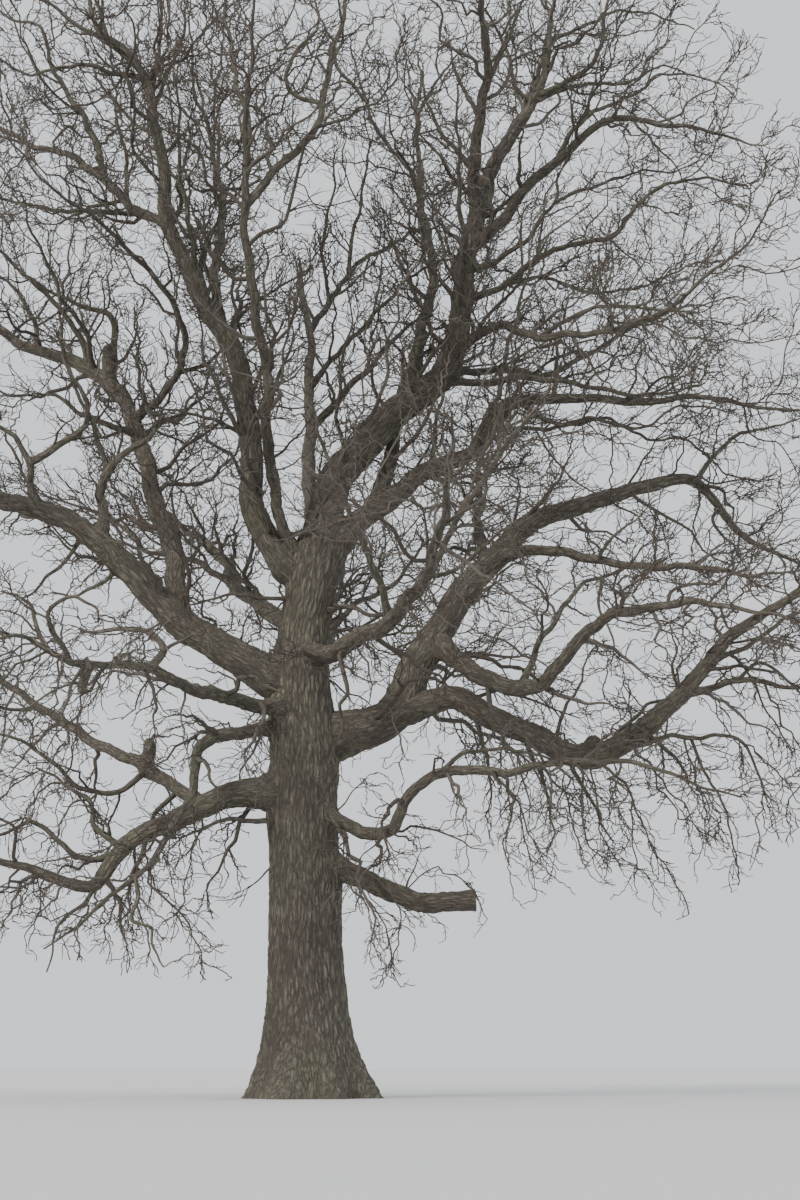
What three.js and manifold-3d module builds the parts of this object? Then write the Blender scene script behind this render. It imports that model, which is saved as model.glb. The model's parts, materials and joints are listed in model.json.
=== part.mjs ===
// A bare open-grown oak in winter: one trunk, its boughs, and a mass of twigs at the end of each living bough.
// Millimetres and degrees. The trunk's foot is at the origin, +Z is up and -Y is the side seen in the picture.
import * as THREE from "three";
import Module from "manifold-3d";

const wasm = await Module();
wasm.setup();

// Gaps between solids, clear air round a limb, air between masses, and how finely a limb is sampled for them
const GAP = 0.3;
const ROOM = 40;
const BETWEEN_MASSES = 150;
const SAMPLES = 14;
const NEARLY_PLUMB = 0.05;

// Trunk: the heights of its rings, with the mean radius at each
const TRUNK_HEIGHT = 10400;
const TRUNK_PROFILE = [
  [0, 1130],
  [350, 1000],
  [800, 860],
  [1250, 770],
  [1800, 705],
  [2600, 660],
  [3500, 650],
  [4400, 620],
  [6000, 590],
  [7100, 550],
  [8200, 490],
  [9000, 450],
  [9600, 490],
  [TRUNK_HEIGHT, 400],
];
const TRUNK_SIDES = 21;
const TRUNK_CURVE_RUNS = 8;
const FOOT_AXIS_X = 80;
const LEAN_AXIS_X = -90;
const LEAN_HEIGHT = 8000;
const FORK_AXIS_X = 230;

// Root flare: narrow buttresses over broad ones, both dying away up the trunk
const FLARE_DEPTH = 0.13;
const FLARE_HEIGHT = 700;
const BUTTRESSES = { count: 7, share: 1, phase: 0.9 };
const BROAD_BUTTRESSES = { count: 3, share: 0.6, phase: -0.4 };

// Crown outline: a rounded dome, fullest at mid height
const CROWN_RADIUS = 10700;
const CROWN_MIDDLE = 10500;
const CROWN_RISE = 13300;
const CROWN_DROP = 8400;
const CROWN_SQUARENESS = 2.4;

// Boughs: sides of a thick one and a slim one, rings to a run, and the swelling where one leaves its parent
const THICK_RADIUS = 200;
const THICK_SIDES = 8;
const SLIM_SIDES = 6;
const RINGS_PER_RUN = 1.2;
const COLLAR = 0.3;
const COLLAR_REACH = 1.6;

// Twigs: how many, their length against their parent's, their spread from it and how crooked they grow
const STEM_TIP = 14;
const STEM_RUNS = 4;
const TWIG_SIDES = 3;
const TWIG_TIP = 7;
const ROOT_SHARE = 0.5;
const FIRST = { count: 9, from: 0.06, to: 0.94, share: 0.56, open: 58, runs: 2, thick: 45, crook: 0.3 };
const SECOND = { count: 2, from: 0.35, to: 0.8, share: 0.55, open: 52, runs: 1, thick: 22, crook: 0.3 };
const GOLDEN_TURN = 137.5;
const TURN_SPREAD = 50;
const OPEN_SPREAD = 24;
const SHORTER_TO_TIP = 0.6;
const LENGTH_LEAST = 0.8;
const LENGTH_SPREAD = 0.5;
const SHORTEST_TRY = 0.55;
const LIFT_HIGH = 0.16;
const DROOP_LOW = -0.28;
const DROOP_HEIGHT = 5500;
const LIFT_HEIGHT = 11000;

// Each limb leaves its parent at a share of the parent's length and takes equal runs. `climb` is each run's angle
// above level and `swing` its bearing from +X, spread evenly over the runs where there are fewer of them.
// `thick` is its radius at the root and at the end of its bare part, and `bare` that part's share of the length.
const LIMBS = [
  {
    name: "stub", on: "trunk", at: 0.42, length: 3300, bare: 1, thick: [190, 175],
    swing: [350, 355], climb: [-30, -25, -15, 0],
  },
  {
    name: "bough_low_left", on: "trunk", at: 0.52, length: 7700, bare: 0.55, thick: [290, 120],
    swing: [190, 195, 195, 205, 195, 195, 195], climb: [-5, -20, -30, -45, 15, 15, 10],
  },
  {
    name: "bough_low_left_back", on: "bough_low_left", at: 0.24, length: 9900, bare: 0.45, thick: [130, 85],
    swing: [145, 150], climb: [30, 25, 30, 30, 25, 25],
  },
  {
    name: "bough_slender_right", on: "trunk", at: 0.53, length: 9200, bare: 0.54, thick: [140, 75],
    swing: [325, 330, 315, 330, 330, 330, 330, 335, 335], climb: [-40, -20, 45, 15, -5, 5, -5, -20, -20],
  },
  {
    name: "bough_mid_left", on: "trunk", at: 0.66, length: 9000, bare: 0.5, thick: [175, 85],
    swing: [225, 240, 240, 240, 245, 245], climb: [0, 0, 5, -10, 5, -15],
  },
  {
    name: "bough_drooping", on: "trunk", at: 0.63, length: 7400, bare: 0.5, thick: [150, 65],
    swing: [200, 215, 260, 240, 230, 225, 230], climb: [-5, -25, -60, -50, -45, -35, -35],
  },
  {
    name: "bough_great_right", on: "trunk", at: 0.6, length: 13200, bare: 0.52, thick: [400, 190],
    swing: [10, 15, 15, 10, 10, 10, 10, 10], climb: [20, 60, 55, 45, 20, 15, -45, -20],
  },
  {
    name: "bough_great_low_right", on: "bough_great_right", at: 0.12, length: 10300, bare: 0.5,
    thick: [240, 200], swing: [350], climb: [15, -25, -25, 20, 45, 45, 30, 25],
  },
  {
    name: "bough_right_front", on: "bough_great_right", at: 0.26, length: 9200, bare: 0.5, thick: [195, 110],
    swing: [310, 315, 305, 310, 310, 310], climb: [-35, -15, 30, 5, -10, -20],
  },
  {
    name: "bough_right_mid", on: "bough_great_right", at: 0.42, length: 6900, bare: 0.4, thick: [125, 85],
    swing: [325, 320], climb: [-5, -20, -10, -15, -5],
  },
  {
    name: "bough_right_back", on: "bough_great_right", at: 0.4, length: 8400, bare: 0.45, thick: [125, 80],
    swing: [95, 85, 90, 80, 65], climb: [40, 35, 35, 30, 25],
  },
  {
    name: "bough_front", on: "trunk", at: 0.75, length: 9600, bare: 0.5, thick: [200, 110],
    swing: [300, 300, 290, 280, 275, 270], climb: [0, 5, 10, 15, 20, 15],
  },
  {
    name: "bough_great_left", on: "trunk", at: 0.7, length: 10800, bare: 0.6, thick: [360, 180],
    swing: [190], climb: [25, 35, 45, 25, 5, 15, 10],
  },
  {
    name: "bough_left_upright", on: "bough_great_left", at: 0.24, length: 13200, bare: 0.58,
    thick: [220, 125], swing: [110, 130, 130, 150, 160, 155, 155, 160], climb: [65, 60, 65, 50, 25, 35, 40, 35],
  },
  {
    name: "bough_left_front", on: "bough_left_upright", at: 0.38, length: 8000, bare: 0.4, thick: [95, 65],
    swing: [315, 285, 240, 235, 235, 240], climb: [20, 40, 30, 20, 10, 20],
  },
  {
    name: "leader_left", on: "trunk", at: 0.88, length: 13700, bare: 0.6, thick: [260, 130],
    swing: [190, 220, 225, 195, 195, 215, 205, 190, 210], climb: [50, 80, 80, 60, 65, 80, 75, 50, 80],
  },
  {
    name: "leader_left_inner", on: "leader_left", at: 0.35, length: 11100, bare: 0.4, thick: [125, 90],
    swing: [120, 100, 85, 110, 110, 115, 125], climb: [55, 60, 60, 60, 60, 60, 60],
  },
  {
    name: "leader_left_outer", on: "leader_left", at: 0.56, length: 8800, bare: 0.35, thick: [105, 80],
    swing: [145, 150], climb: [35, 45, 30, 30, 25, 20],
  },
  {
    name: "leader_mid", on: "trunk", at: 0.9, length: 11500, bare: 0.52, thick: [130, 95],
    swing: [220, 255, 265, 250, 265, 275, 280, 285], climb: [55, 65, 65, 60, 65, 65, 60, 60],
  },
  {
    name: "snag", on: "trunk", at: 0.97, length: 5900, bare: 1, thick: [165, 45],
    swing: [140, 95, 110, 155], climb: [80, 85, 85, 80],
  },
  {
    name: "bough_off_snag", on: "snag", at: 0.74, length: 8700, bare: 0.35, thick: [80, 60],
    swing: [70, 65, 55, 55, 70], climb: [45, 45, 35, 40, 45],
  },
  {
    name: "leader_right", on: "trunk", at: 0.95, length: 14100, bare: 0.6, thick: [400, 170],
    swing: [10, 5, 5, 15, 10, 5, 5, 10, 10], climb: [75, 50, 45, 80, 80, 70, 60, 80, 80],
  },
  {
    name: "leader_right_front", on: "leader_right", at: 0.56, length: 6000, bare: 0.35, thick: [150, 105],
    swing: [265, 280, 270, 260, 260], climb: [50, 35, 35, 30, 30],
  },
  {
    name: "leader_right_back", on: "leader_right", at: 0.24, length: 11600, bare: 0.48, thick: [140, 90],
    swing: [70, 70, 75, 110, 95, 95, 100, 110], climb: [60, 60, 65, 65, 65, 65, 65, 65],
  },
  {
    name: "bough_high_back", on: "leader_right", at: 0.32, length: 9800, bare: 0.35, thick: [85, 60],
    swing: [40], climb: [15, 10, 30, 35, 30, 25, 20],
  },
  {
    name: "bough_high_front", on: "leader_right", at: 0.36, length: 8400, bare: 0.38, thick: [95, 65],
    swing: [315, 315, 315, 315, 305, 305, 295], climb: [5, -25, -10, -5, 10, 15, 25],
  },
  {
    name: "bough_top_right", on: "leader_right", at: 0.51, length: 6800, bare: 0.45, thick: [130, 80],
    swing: [335, 340], climb: [35, 45, 35, 20, -20, -20, -25],
  },
  {
    name: "bough_upper_right", on: "trunk", at: 0.93, length: 11700, bare: 0.55, thick: [230, 95],
    swing: [10, 10, 10, 10, 5, 5, 5, 5, 5], climb: [45, 40, 30, 50, 5, 0, 5, -10, 5],
  },
  {
    name: "bough_back", on: "trunk", at: 0.71, length: 11200, bare: 0.5, thick: [200, 115],
    swing: [90, 80, 90, 85, 85, 75], climb: [25, 25, 30, 25, 30, 20],
  },
  {
    name: "bough_back_left", on: "trunk", at: 0.79, length: 10600, bare: 0.5, thick: [200, 115],
    swing: [120, 115, 110, 120, 120, 110], climb: [30, 25, 35, 30, 30, 35],
  },
];

const UP = new THREE.Vector3(0, 0, 1);
const radians = THREE.MathUtils.degToRad;
const lerp = THREE.MathUtils.lerp;

// A share of 1 that depends only on the whole numbers it is given
function chance(...keys) {
  let h = 0x2545f491;
  for (const key of keys) {
    h = Math.imul(h ^ key, 0x85ebca6b);
    h ^= h >>> 13;
    h = Math.imul(h, 0xc2b2ae35);
    h ^= h >>> 16;
  }
  return (h >>> 0) / 2 ** 32;
}

// Value number i of n, from a list spread evenly over n places
function spread(list, i, n) {
  const place = n > 1 ? (i * (list.length - 1)) / (n - 1) : 0;
  const low = Math.floor(place);
  const high = Math.min(low + 1, list.length - 1);
  return lerp(list[low], list[high], place - low);
}

function smooth(low, high, value) {
  return THREE.MathUtils.smoothstep(value, low, high);
}

function bearing(swing, climb) {
  const level = Math.cos(climb);
  return new THREE.Vector3(level * Math.cos(swing), level * Math.sin(swing), Math.sin(climb));
}

// The curve a limb follows from a start point
function limbCurve(start, limb) {
  const n = limb.climb.length;
  const points = [start.clone()];
  for (let i = 0; i < n; i++) {
    const way = bearing(radians(spread(limb.swing, i, n)), radians(limb.climb[i]));
    points.push(points[i].clone().addScaledVector(way, limb.length / n));
  }
  return new THREE.CatmullRomCurve3(points, false, "catmullrom", 0.5);
}

// Two directions square to a tangent, the first level
function squareTo(tangent) {
  const level = new THREE.Vector3().crossVectors(UP, tangent);
  if (level.length() < NEARLY_PLUMB) level.set(1, 0, 0);
  level.normalize();
  return [level, new THREE.Vector3().crossVectors(tangent, level).normalize()];
}

// Closed tube through rings of points; a last ring of one point makes a sharp tip
function loft(rings) {
  const vertices = [];
  const triangles = [];
  const firsts = rings.map((ring) => {
    const first = vertices.length / 3;
    for (const p of ring) vertices.push(p.x, p.y, p.z);
    return first;
  });
  for (let r = 0; r + 1 < rings.length; r++) {
    const n = rings[r].length;
    for (let i = 0; i < n; i++) {
      const j = (i + 1) % n;
      const a = firsts[r] + i;
      const b = firsts[r] + j;
      if (rings[r + 1].length === 1) {
        triangles.push(a, b, firsts[r + 1]);
        continue;
      }
      const c = firsts[r + 1] + j;
      const d = firsts[r + 1] + i;
      triangles.push(a, b, c, a, c, d);
    }
  }
  const last = rings.length - 1;
  for (let i = 1; i + 1 < rings[0].length; i++) triangles.push(firsts[0], firsts[0] + i + 1, firsts[0] + i);
  for (let i = 1; i + 1 < rings[last].length; i++) triangles.push(firsts[last], firsts[last] + i, firsts[last] + i + 1);
  return new THREE.BufferGeometry()
    .setAttribute("position", new THREE.Float32BufferAttribute(vertices, 3))
    .setIndex(triangles);
}

function solid(geometry) {
  return new wasm.Manifold(
    new wasm.Mesh({
      numProp: 3,
      vertProperties: new Float32Array(geometry.getAttribute("position").array),
      triVerts: new Uint32Array(geometry.index.array),
    }),
  );
}

// Rings of a round tube along points, kept from twisting
function tubeRings(points, tangents, radii, sides) {
  const rings = [];
  let side = null;
  points.forEach((p, i) => {
    const tangent = tangents[i];
    side = side ? side.addScaledVector(tangent, -side.dot(tangent)).normalize() : squareTo(tangent)[0];
    if (radii[i] === 0) {
      rings.push([p]);
      return;
    }
    const other = new THREE.Vector3().crossVectors(tangent, side);
    const ring = [];
    for (let k = 0; k < sides; k++) {
      const turn = (2 * Math.PI * k) / sides;
      const out = side.clone().multiplyScalar(Math.cos(turn)).addScaledVector(other, Math.sin(turn));
      ring.push(p.clone().addScaledVector(out, radii[i]));
    }
    rings.push(ring);
  });
  return rings;
}

// Trunk
function trunkAxis(z) {
  const lean = lerp(FOOT_AXIS_X, LEAN_AXIS_X, smooth(0, LEAN_HEIGHT, z));
  return lerp(lean, FORK_AXIS_X, smooth(LEAN_HEIGHT, TRUNK_HEIGHT, z));
}

function trunkRadius(z, turn) {
  const flare = FLARE_DEPTH * Math.exp(-z / FLARE_HEIGHT);
  let lobes = 0;
  for (const wave of [BUTTRESSES, BROAD_BUTTRESSES])
    lobes += wave.share * Math.cos(wave.count * turn + wave.phase);
  let i = 1;
  while (i + 1 < TRUNK_PROFILE.length && TRUNK_PROFILE[i][0] < z) i++;
  const [low, wide] = TRUNK_PROFILE[i - 1];
  const [high, narrow] = TRUNK_PROFILE[i];
  return lerp(wide, narrow, (z - low) / (high - low)) * (1 + flare * lobes);
}

function trunkSolid(extra) {
  const rings = TRUNK_PROFILE.map(([height], row) => {
    const lowest = row === 0;
    const highest = row === TRUNK_PROFILE.length - 1;
    const z = height + (highest ? extra : 0) - (lowest ? extra : 0);
    const ring = [];
    for (let k = 0; k < TRUNK_SIDES; k++) {
      const turn = (2 * Math.PI * k) / TRUNK_SIDES;
      const radius = trunkRadius(height, turn) + extra;
      ring.push(new THREE.Vector3(trunkAxis(height) + radius * Math.cos(turn), radius * Math.sin(turn), z));
    }
    return ring;
  });
  return solid(loft(rings));
}

// Limbs
function limbRadius(limb, u) {
  const [root, end] = limb.thick;
  if (u > limb.bare) return lerp(end, STEM_TIP, (u - limb.bare) / (1 - limb.bare));
  const collar = 1 + COLLAR * Math.exp((-u * limb.length) / (COLLAR_REACH * root));
  return lerp(root, end, u / limb.bare) * collar;
}

function limbSolid(limb, extra) {
  const steps = Math.ceil(limb.climb.length * limb.bare * RINGS_PER_RUN);
  const sides = limb.thick[0] >= THICK_RADIUS ? THICK_SIDES : SLIM_SIDES;
  const points = [];
  const tangents = [];
  const radii = [];
  for (let i = 0; i <= steps; i++) {
    const u = (limb.bare * i) / steps;
    points.push(limb.curve.getPoint(u));
    tangents.push(limb.curve.getTangent(u));
    radii.push(limbRadius(limb, u) + extra);
  }
  points[steps].addScaledVector(tangents[steps], extra);
  return solid(loft(tubeRings(points, tangents, radii, sides)));
}

// Growing room: the crown's outline, each stem's own share of it, and clear air round the limbs
function insideCrown(p) {
  const across = Math.hypot(p.x, p.y) / CROWN_RADIUS;
  const rise = (p.z - CROWN_MIDDLE) / (p.z > CROWN_MIDDLE ? CROWN_RISE : CROWN_DROP);
  return across ** CROWN_SQUARENESS + Math.abs(rise) ** CROWN_SQUARENESS < 1;
}

function samplesOf(limb, from, to) {
  const list = [];
  for (let i = 0; i <= SAMPLES; i++) {
    const u = lerp(from, to, i / SAMPLES);
    list.push({ p: limb.curve.getPoint(u), r: limbRadius(limb, u) });
  }
  return list;
}

function nearest(p, samples) {
  return Math.min(...samples.map((s) => s.p.distanceTo(p)));
}

function fits(p, limb, stems, boughs) {
  if (!insideCrown(p)) return false;
  const own = nearest(p, stems.get(limb.name));
  for (const [name, samples] of stems)
    if (name !== limb.name && nearest(p, samples) < own + BETWEEN_MASSES) return false;
  for (const samples of boughs.values())
    for (let i = 0; i + 1 < samples.length; i++) {
      const a = samples[i];
      const b = samples[i + 1];
      const reach = new THREE.Line3(a.p, b.p).closestPointToPoint(p, true, new THREE.Vector3());
      if (reach.distanceTo(p) < Math.max(a.r, b.r) + ROOM) return false;
    }
  return true;
}

// The points of one twig that leaves a path at share u of it
function twigPoints(path, u, rule, shrink, keys) {
  const place = u * (path.length - 1);
  const low = Math.min(Math.floor(place), path.length - 2);
  const from = path[low].clone().lerp(path[low + 1], place - low);
  const along = path[low + 1].clone().sub(path[low]).normalize();
  const [level, steep] = squareTo(along);
  const turn = radians(GOLDEN_TURN * keys[keys.length - 1] + TURN_SPREAD * chance(...keys, 1));
  const open = radians(rule.open + OPEN_SPREAD * (chance(...keys, 2) - 0.5));
  const away = level.multiplyScalar(Math.cos(turn)).addScaledVector(steep, Math.sin(turn));
  const way = along.clone().multiplyScalar(Math.cos(open)).addScaledVector(away, Math.sin(open));
  const total = path.slice(1).reduce((sum, p, i) => sum + p.distanceTo(path[i]), 0);
  const luck = LENGTH_LEAST + LENGTH_SPREAD * chance(...keys, 3);
  const length = total * rule.share * (1 - SHORTER_TO_TIP * u) * luck * shrink;
  const lift = lerp(DROOP_LOW, LIFT_HIGH, smooth(DROOP_HEIGHT, LIFT_HEIGHT, from.z));
  const points = [from];
  for (let i = 0; i < rule.runs; i++) {
    const kink = new THREE.Vector3(
      chance(...keys, i, 4) - 0.5,
      chance(...keys, i, 5) - 0.5,
      chance(...keys, i, 6) - 0.5,
    );
    way.addScaledVector(kink, 2 * rule.crook).addScaledVector(UP, lift).normalize();
    points.push(points[i].clone().addScaledVector(way, length / rule.runs));
  }
  return points;
}

// A twig that fits, shortened once if it has to be, or null
function grow(path, u, rule, keys, limb, stems, boughs) {
  for (const shrink of [1, SHORTEST_TRY]) {
    const points = twigPoints(path, u, rule, shrink, keys);
    const between = points.slice(1).map((p, i) => p.clone().lerp(points[i], 0.5));
    if ([...points.slice(1), ...between.slice(1)].every((p) => fits(p, limb, stems, boughs))) return points;
  }
  return null;
}

function twigSolid(points, root) {
  const last = points.length - 1;
  const tangents = points.map((_, i) =>
    points[Math.min(i + 1, last)].clone().sub(points[Math.max(i - 1, 0)]).normalize(),
  );
  const radii = points.map((_, i) => (i === last ? 0 : lerp(root, TWIG_TIP, i / last)));
  return solid(loft(tubeRings(points, tangents, radii, TWIG_SIDES)));
}

// The mass of twigs on the end of one limb, on a stem that carries the limb on
function massSolid(limb, seed, stems, boughs) {
  const path = [];
  const tangents = [];
  const radii = [];
  for (let i = 0; i <= STEM_RUNS; i++) {
    const u = lerp(limb.bare, 1, i / STEM_RUNS);
    path.push(limb.curve.getPoint(u));
    tangents.push(limb.curve.getTangent(u));
    radii.push(i === STEM_RUNS ? 0 : limbRadius(limb, u));
  }
  path[0].addScaledVector(tangents[0], GAP);
  const parts = [solid(loft(tubeRings(path, tangents, radii, TWIG_SIDES)))];
  for (let k = 0; k < FIRST.count; k++) {
    const u = lerp(FIRST.from, FIRST.to, k / (FIRST.count - 1));
    const twig = grow(path, u, FIRST, [seed, k], limb, stems, boughs);
    if (!twig) continue;
    const root = Math.min(FIRST.thick, ROOT_SHARE * lerp(limb.thick[1], STEM_TIP, u));
    parts.push(twigSolid(twig, root));
    for (let j = 0; j < SECOND.count; j++) {
      const v = lerp(SECOND.from, SECOND.to, j / (SECOND.count - 1));
      const fine = grow(twig, v, SECOND, [seed, k, j], limb, stems, boughs);
      if (fine) parts.push(twigSolid(fine, Math.min(SECOND.thick, ROOT_SHARE * lerp(root, TWIG_TIP, v))));
    }
  }
  return parts.reduce((all, part) => all.add(part));
}

function largest(made) {
  return made.decompose().reduce((a, b) => (a.volume() > b.volume() ? a : b));
}

function meshOf(made, name, material) {
  const { vertProperties, triVerts } = made.getMesh();
  const geometry = new THREE.BufferGeometry()
    .setAttribute("position", new THREE.Float32BufferAttribute(vertProperties, 3))
    .setIndex([...triVerts]);
  geometry.computeVertexNormals();
  const mesh = new THREE.Mesh(geometry, material);
  mesh.name = name;
  return mesh;
}

const bark = new THREE.MeshStandardMaterial({ color: 0x4a4339, roughness: 0.95 });
const twigBark = new THREE.MeshStandardMaterial({ color: 0x5a4d40, roughness: 0.9 });

function trunkCurve() {
  const points = [];
  for (let i = 0; i <= TRUNK_CURVE_RUNS; i++) {
    const z = (TRUNK_HEIGHT * i) / TRUNK_CURVE_RUNS;
    points.push(new THREE.Vector3(trunkAxis(z), 0, z));
  }
  return new THREE.CatmullRomCurve3(points, false, "catmullrom", 0.5);
}

function buildTree() {
  const tree = new THREE.Group();
  tree.name = "bare_oak";
  tree.add(meshOf(trunkSolid(0), "trunk", bark));

  const curves = new Map([["trunk", trunkCurve()]]);
  const cutters = [trunkSolid(GAP)];
  const stems = new Map();
  const boughs = new Map();
  for (const limb of LIMBS) {
    limb.curve = limbCurve(curves.get(limb.on).getPoint(limb.at), limb);
    curves.set(limb.name, limb.curve);
    boughs.set(limb.name, samplesOf(limb, 0, limb.bare));
    if (limb.bare < 1) stems.set(limb.name, samplesOf(limb, limb.bare, 1));
  }
  for (const limb of LIMBS) {
    const cut = cutters.reduce((left, cutter) => left.subtract(cutter), limbSolid(limb, 0));
    tree.add(meshOf(largest(cut), limb.name, bark));
    cutters.push(limbSolid(limb, GAP));
  }
  LIMBS.forEach((limb, i) => {
    if (limb.bare === 1) return;
    const name = "twigs_" + limb.name.replace("bough_", "");
    tree.add(meshOf(massSolid(limb, i + 1, stems, boughs), name, twigBark));
  });
  return tree;
}

export default buildTree();
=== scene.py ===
"""A bare open-grown oak in winter.

One trunk with a furrowed, buttressed skin, its boughs, a sawn stub, a broken snag, the side limbs
that leave the boughs, and the twigs that grow on from all of them by one rule, down to the last
spurs. Metres, +Z up.
"""
from __future__ import annotations

import json
import logging
import math
from dataclasses import dataclass, replace
from enum import Enum
from typing import Callable, Iterable, Sequence

import bpy
import numpy as np
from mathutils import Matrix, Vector

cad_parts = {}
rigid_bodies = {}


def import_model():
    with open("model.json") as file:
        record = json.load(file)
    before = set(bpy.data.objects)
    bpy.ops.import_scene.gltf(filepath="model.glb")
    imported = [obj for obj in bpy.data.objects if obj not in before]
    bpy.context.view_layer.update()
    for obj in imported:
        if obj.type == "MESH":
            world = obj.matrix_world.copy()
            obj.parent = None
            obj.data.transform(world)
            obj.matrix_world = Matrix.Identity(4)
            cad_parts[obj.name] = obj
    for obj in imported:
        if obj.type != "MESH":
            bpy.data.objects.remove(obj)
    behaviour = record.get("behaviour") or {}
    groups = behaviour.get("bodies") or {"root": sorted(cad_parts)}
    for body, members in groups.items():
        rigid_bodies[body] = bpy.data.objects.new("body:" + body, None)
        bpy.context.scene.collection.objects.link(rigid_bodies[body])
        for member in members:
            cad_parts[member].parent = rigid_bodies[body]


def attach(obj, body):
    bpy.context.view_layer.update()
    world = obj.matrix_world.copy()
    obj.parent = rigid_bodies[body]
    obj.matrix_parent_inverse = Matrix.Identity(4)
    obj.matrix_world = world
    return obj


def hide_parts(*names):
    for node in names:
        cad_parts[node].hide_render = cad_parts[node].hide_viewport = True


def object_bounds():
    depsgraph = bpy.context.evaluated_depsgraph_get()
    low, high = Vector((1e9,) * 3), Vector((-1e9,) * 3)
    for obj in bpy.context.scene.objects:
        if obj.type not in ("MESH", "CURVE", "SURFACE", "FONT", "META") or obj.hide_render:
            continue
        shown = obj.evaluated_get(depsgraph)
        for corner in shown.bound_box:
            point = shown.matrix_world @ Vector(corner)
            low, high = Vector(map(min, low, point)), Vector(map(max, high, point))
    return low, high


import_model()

CAD_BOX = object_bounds()
LOG = logging.getLogger("bare_oak")

# Growing room: the crown's outline, clear air round the limbs and between the masses
CROWN_RADIUS = 10.7
CROWN_MIDDLE = 10.5
CROWN_RISE = 13.3
CROWN_DROP = 8.4
CROWN_SQUARENESS = 2.4
CROWN_SLACK = 1.08
BOX_MARGIN = 0.03
ROOM = 0.04
BETWEEN_MASSES = 0.15
STEM_SAMPLES = 14
HEART = (0.0, 0.0, 8.0)

# The trunk: its profile as heights and radii, its lean, and the lobes and flutes of its foot.
# A buttress row holds a count, a share and a phase, a flute row a depth, count, twist and phase.
TRUNK_HEIGHT = 10.4
TRUNK_PROFILE = (
    (0.0, 1.13), (0.35, 1.0), (0.8, 0.86), (1.25, 0.77), (1.8, 0.705), (2.6, 0.66), (3.5, 0.65),
    (4.4, 0.62), (6.0, 0.59), (7.1, 0.55), (8.2, 0.49), (9.0, 0.45), (9.6, 0.49),
    (TRUNK_HEIGHT, 0.4),
)
TRUNK_CURVE_RUNS = 8
FOOT_AXIS_X = 0.08
LEAN_AXIS_X = -0.09
LEAN_HEIGHT = 8.0
FORK_AXIS_X = 0.23
TRUNK_AIR = 0.4
TRUNK_AIR_TOP = 8.6
FLARE_DEPTH = 0.13
FLARE_HEIGHT = 0.7
BUTTRESSES = ((7, 1.0, 0.9), (3, 0.6, -0.4))
FLUTES = ((0.012, 5, 0.5, 0.7), (0.01, 8, -0.35, 0.0))

# The rule that every twig grows by
GOLDEN_TURN = 137.5
TURN_SPREAD = 50.0
OPEN_SPREAD = 24.0
SHORTER_TO_TIP = 0.6
LENGTH_LEAST = 0.8
LENGTH_SPREAD = 0.5
SHORTEST_TRY = 0.55
LIFT_HIGH = 0.16
DROOP_LOW = -0.28
DROOP_HEIGHT = 5.5
LIFT_HEIGHT = 11.0
ROOT_SHARE = 0.5
COLLAR = 0.3
COLLAR_REACH = 1.6
STEM_TIP = 0.014
TONES = 3

# The small bends of a limb, as wave lengths and sizes; the short ones are calmed on thick limbs
WANDER = ((1.9, 0.03), (0.85, 0.018), (0.37, 0.008))
WANDER_START = 1.2
WANDER_CALM = 7.0

# Chances: the fixed seed, the rounds of mixing as factors and shifts, and each draw's own number
HASH_SEED = 0x2545F491
HASH_ROUNDS = ((0x85EBCA6B, 13), (0xC2B2AE35, 16))
TURN_DRAW, OPENING_DRAW, LENGTH_DRAW, TONE_DRAW = 1, 2, 3, 7
KINK_DRAWS = (4, 5, 6)
HALVING_DRAW = 90
OVAL_DRAW = 7
JAG_DRAW = 55
ORDER_STEP = 100
HALVING_STEP = 10
KEY_SPAN = 2 ** 31
TINY = 1e-9


class Slot(Enum):
    """The record's material slots."""

    BARK = "bark"
    SAWN = "sawn_wood"
    DEAD = "dead_wood"
    TWIGS = "twigs"


class Sector(Enum):
    """The parts of the crown whose twigs are joined into one piece each."""

    LOW_LEFT = "low_left_crown"
    LEFT = "left_crown"
    LEFT_TOP = "left_top_crown"
    MIDDLE = "middle_crown"
    RIGHT_TOP = "right_top_crown"
    UPPER_RIGHT = "upper_right_crown"
    RIGHT = "right_crown"
    LOW_RIGHT = "low_right_crown"
    BACK = "back_crown"


@dataclass(frozen=True)
class Limb:
    """One limb: it leaves its parent at a share of the parent's length and takes equal runs.

    swing holds bearings from +X and climb the angles above level, both in degrees, and swing is
    spread over the runs; thick is the radius at the root and at the end of the bare part, and bare
    that part's share of the length. A limb that isn't twiggy is a dead peg or a burr.
    """

    name: str
    on: str
    at: float
    length: float
    thick: tuple[float, float]
    swing: tuple[float, ...]
    climb: tuple[float, ...]
    bare: float = 1.0
    sector: Sector | None = None
    slot: Slot = Slot.BARK
    twiggy: bool = True


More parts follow.
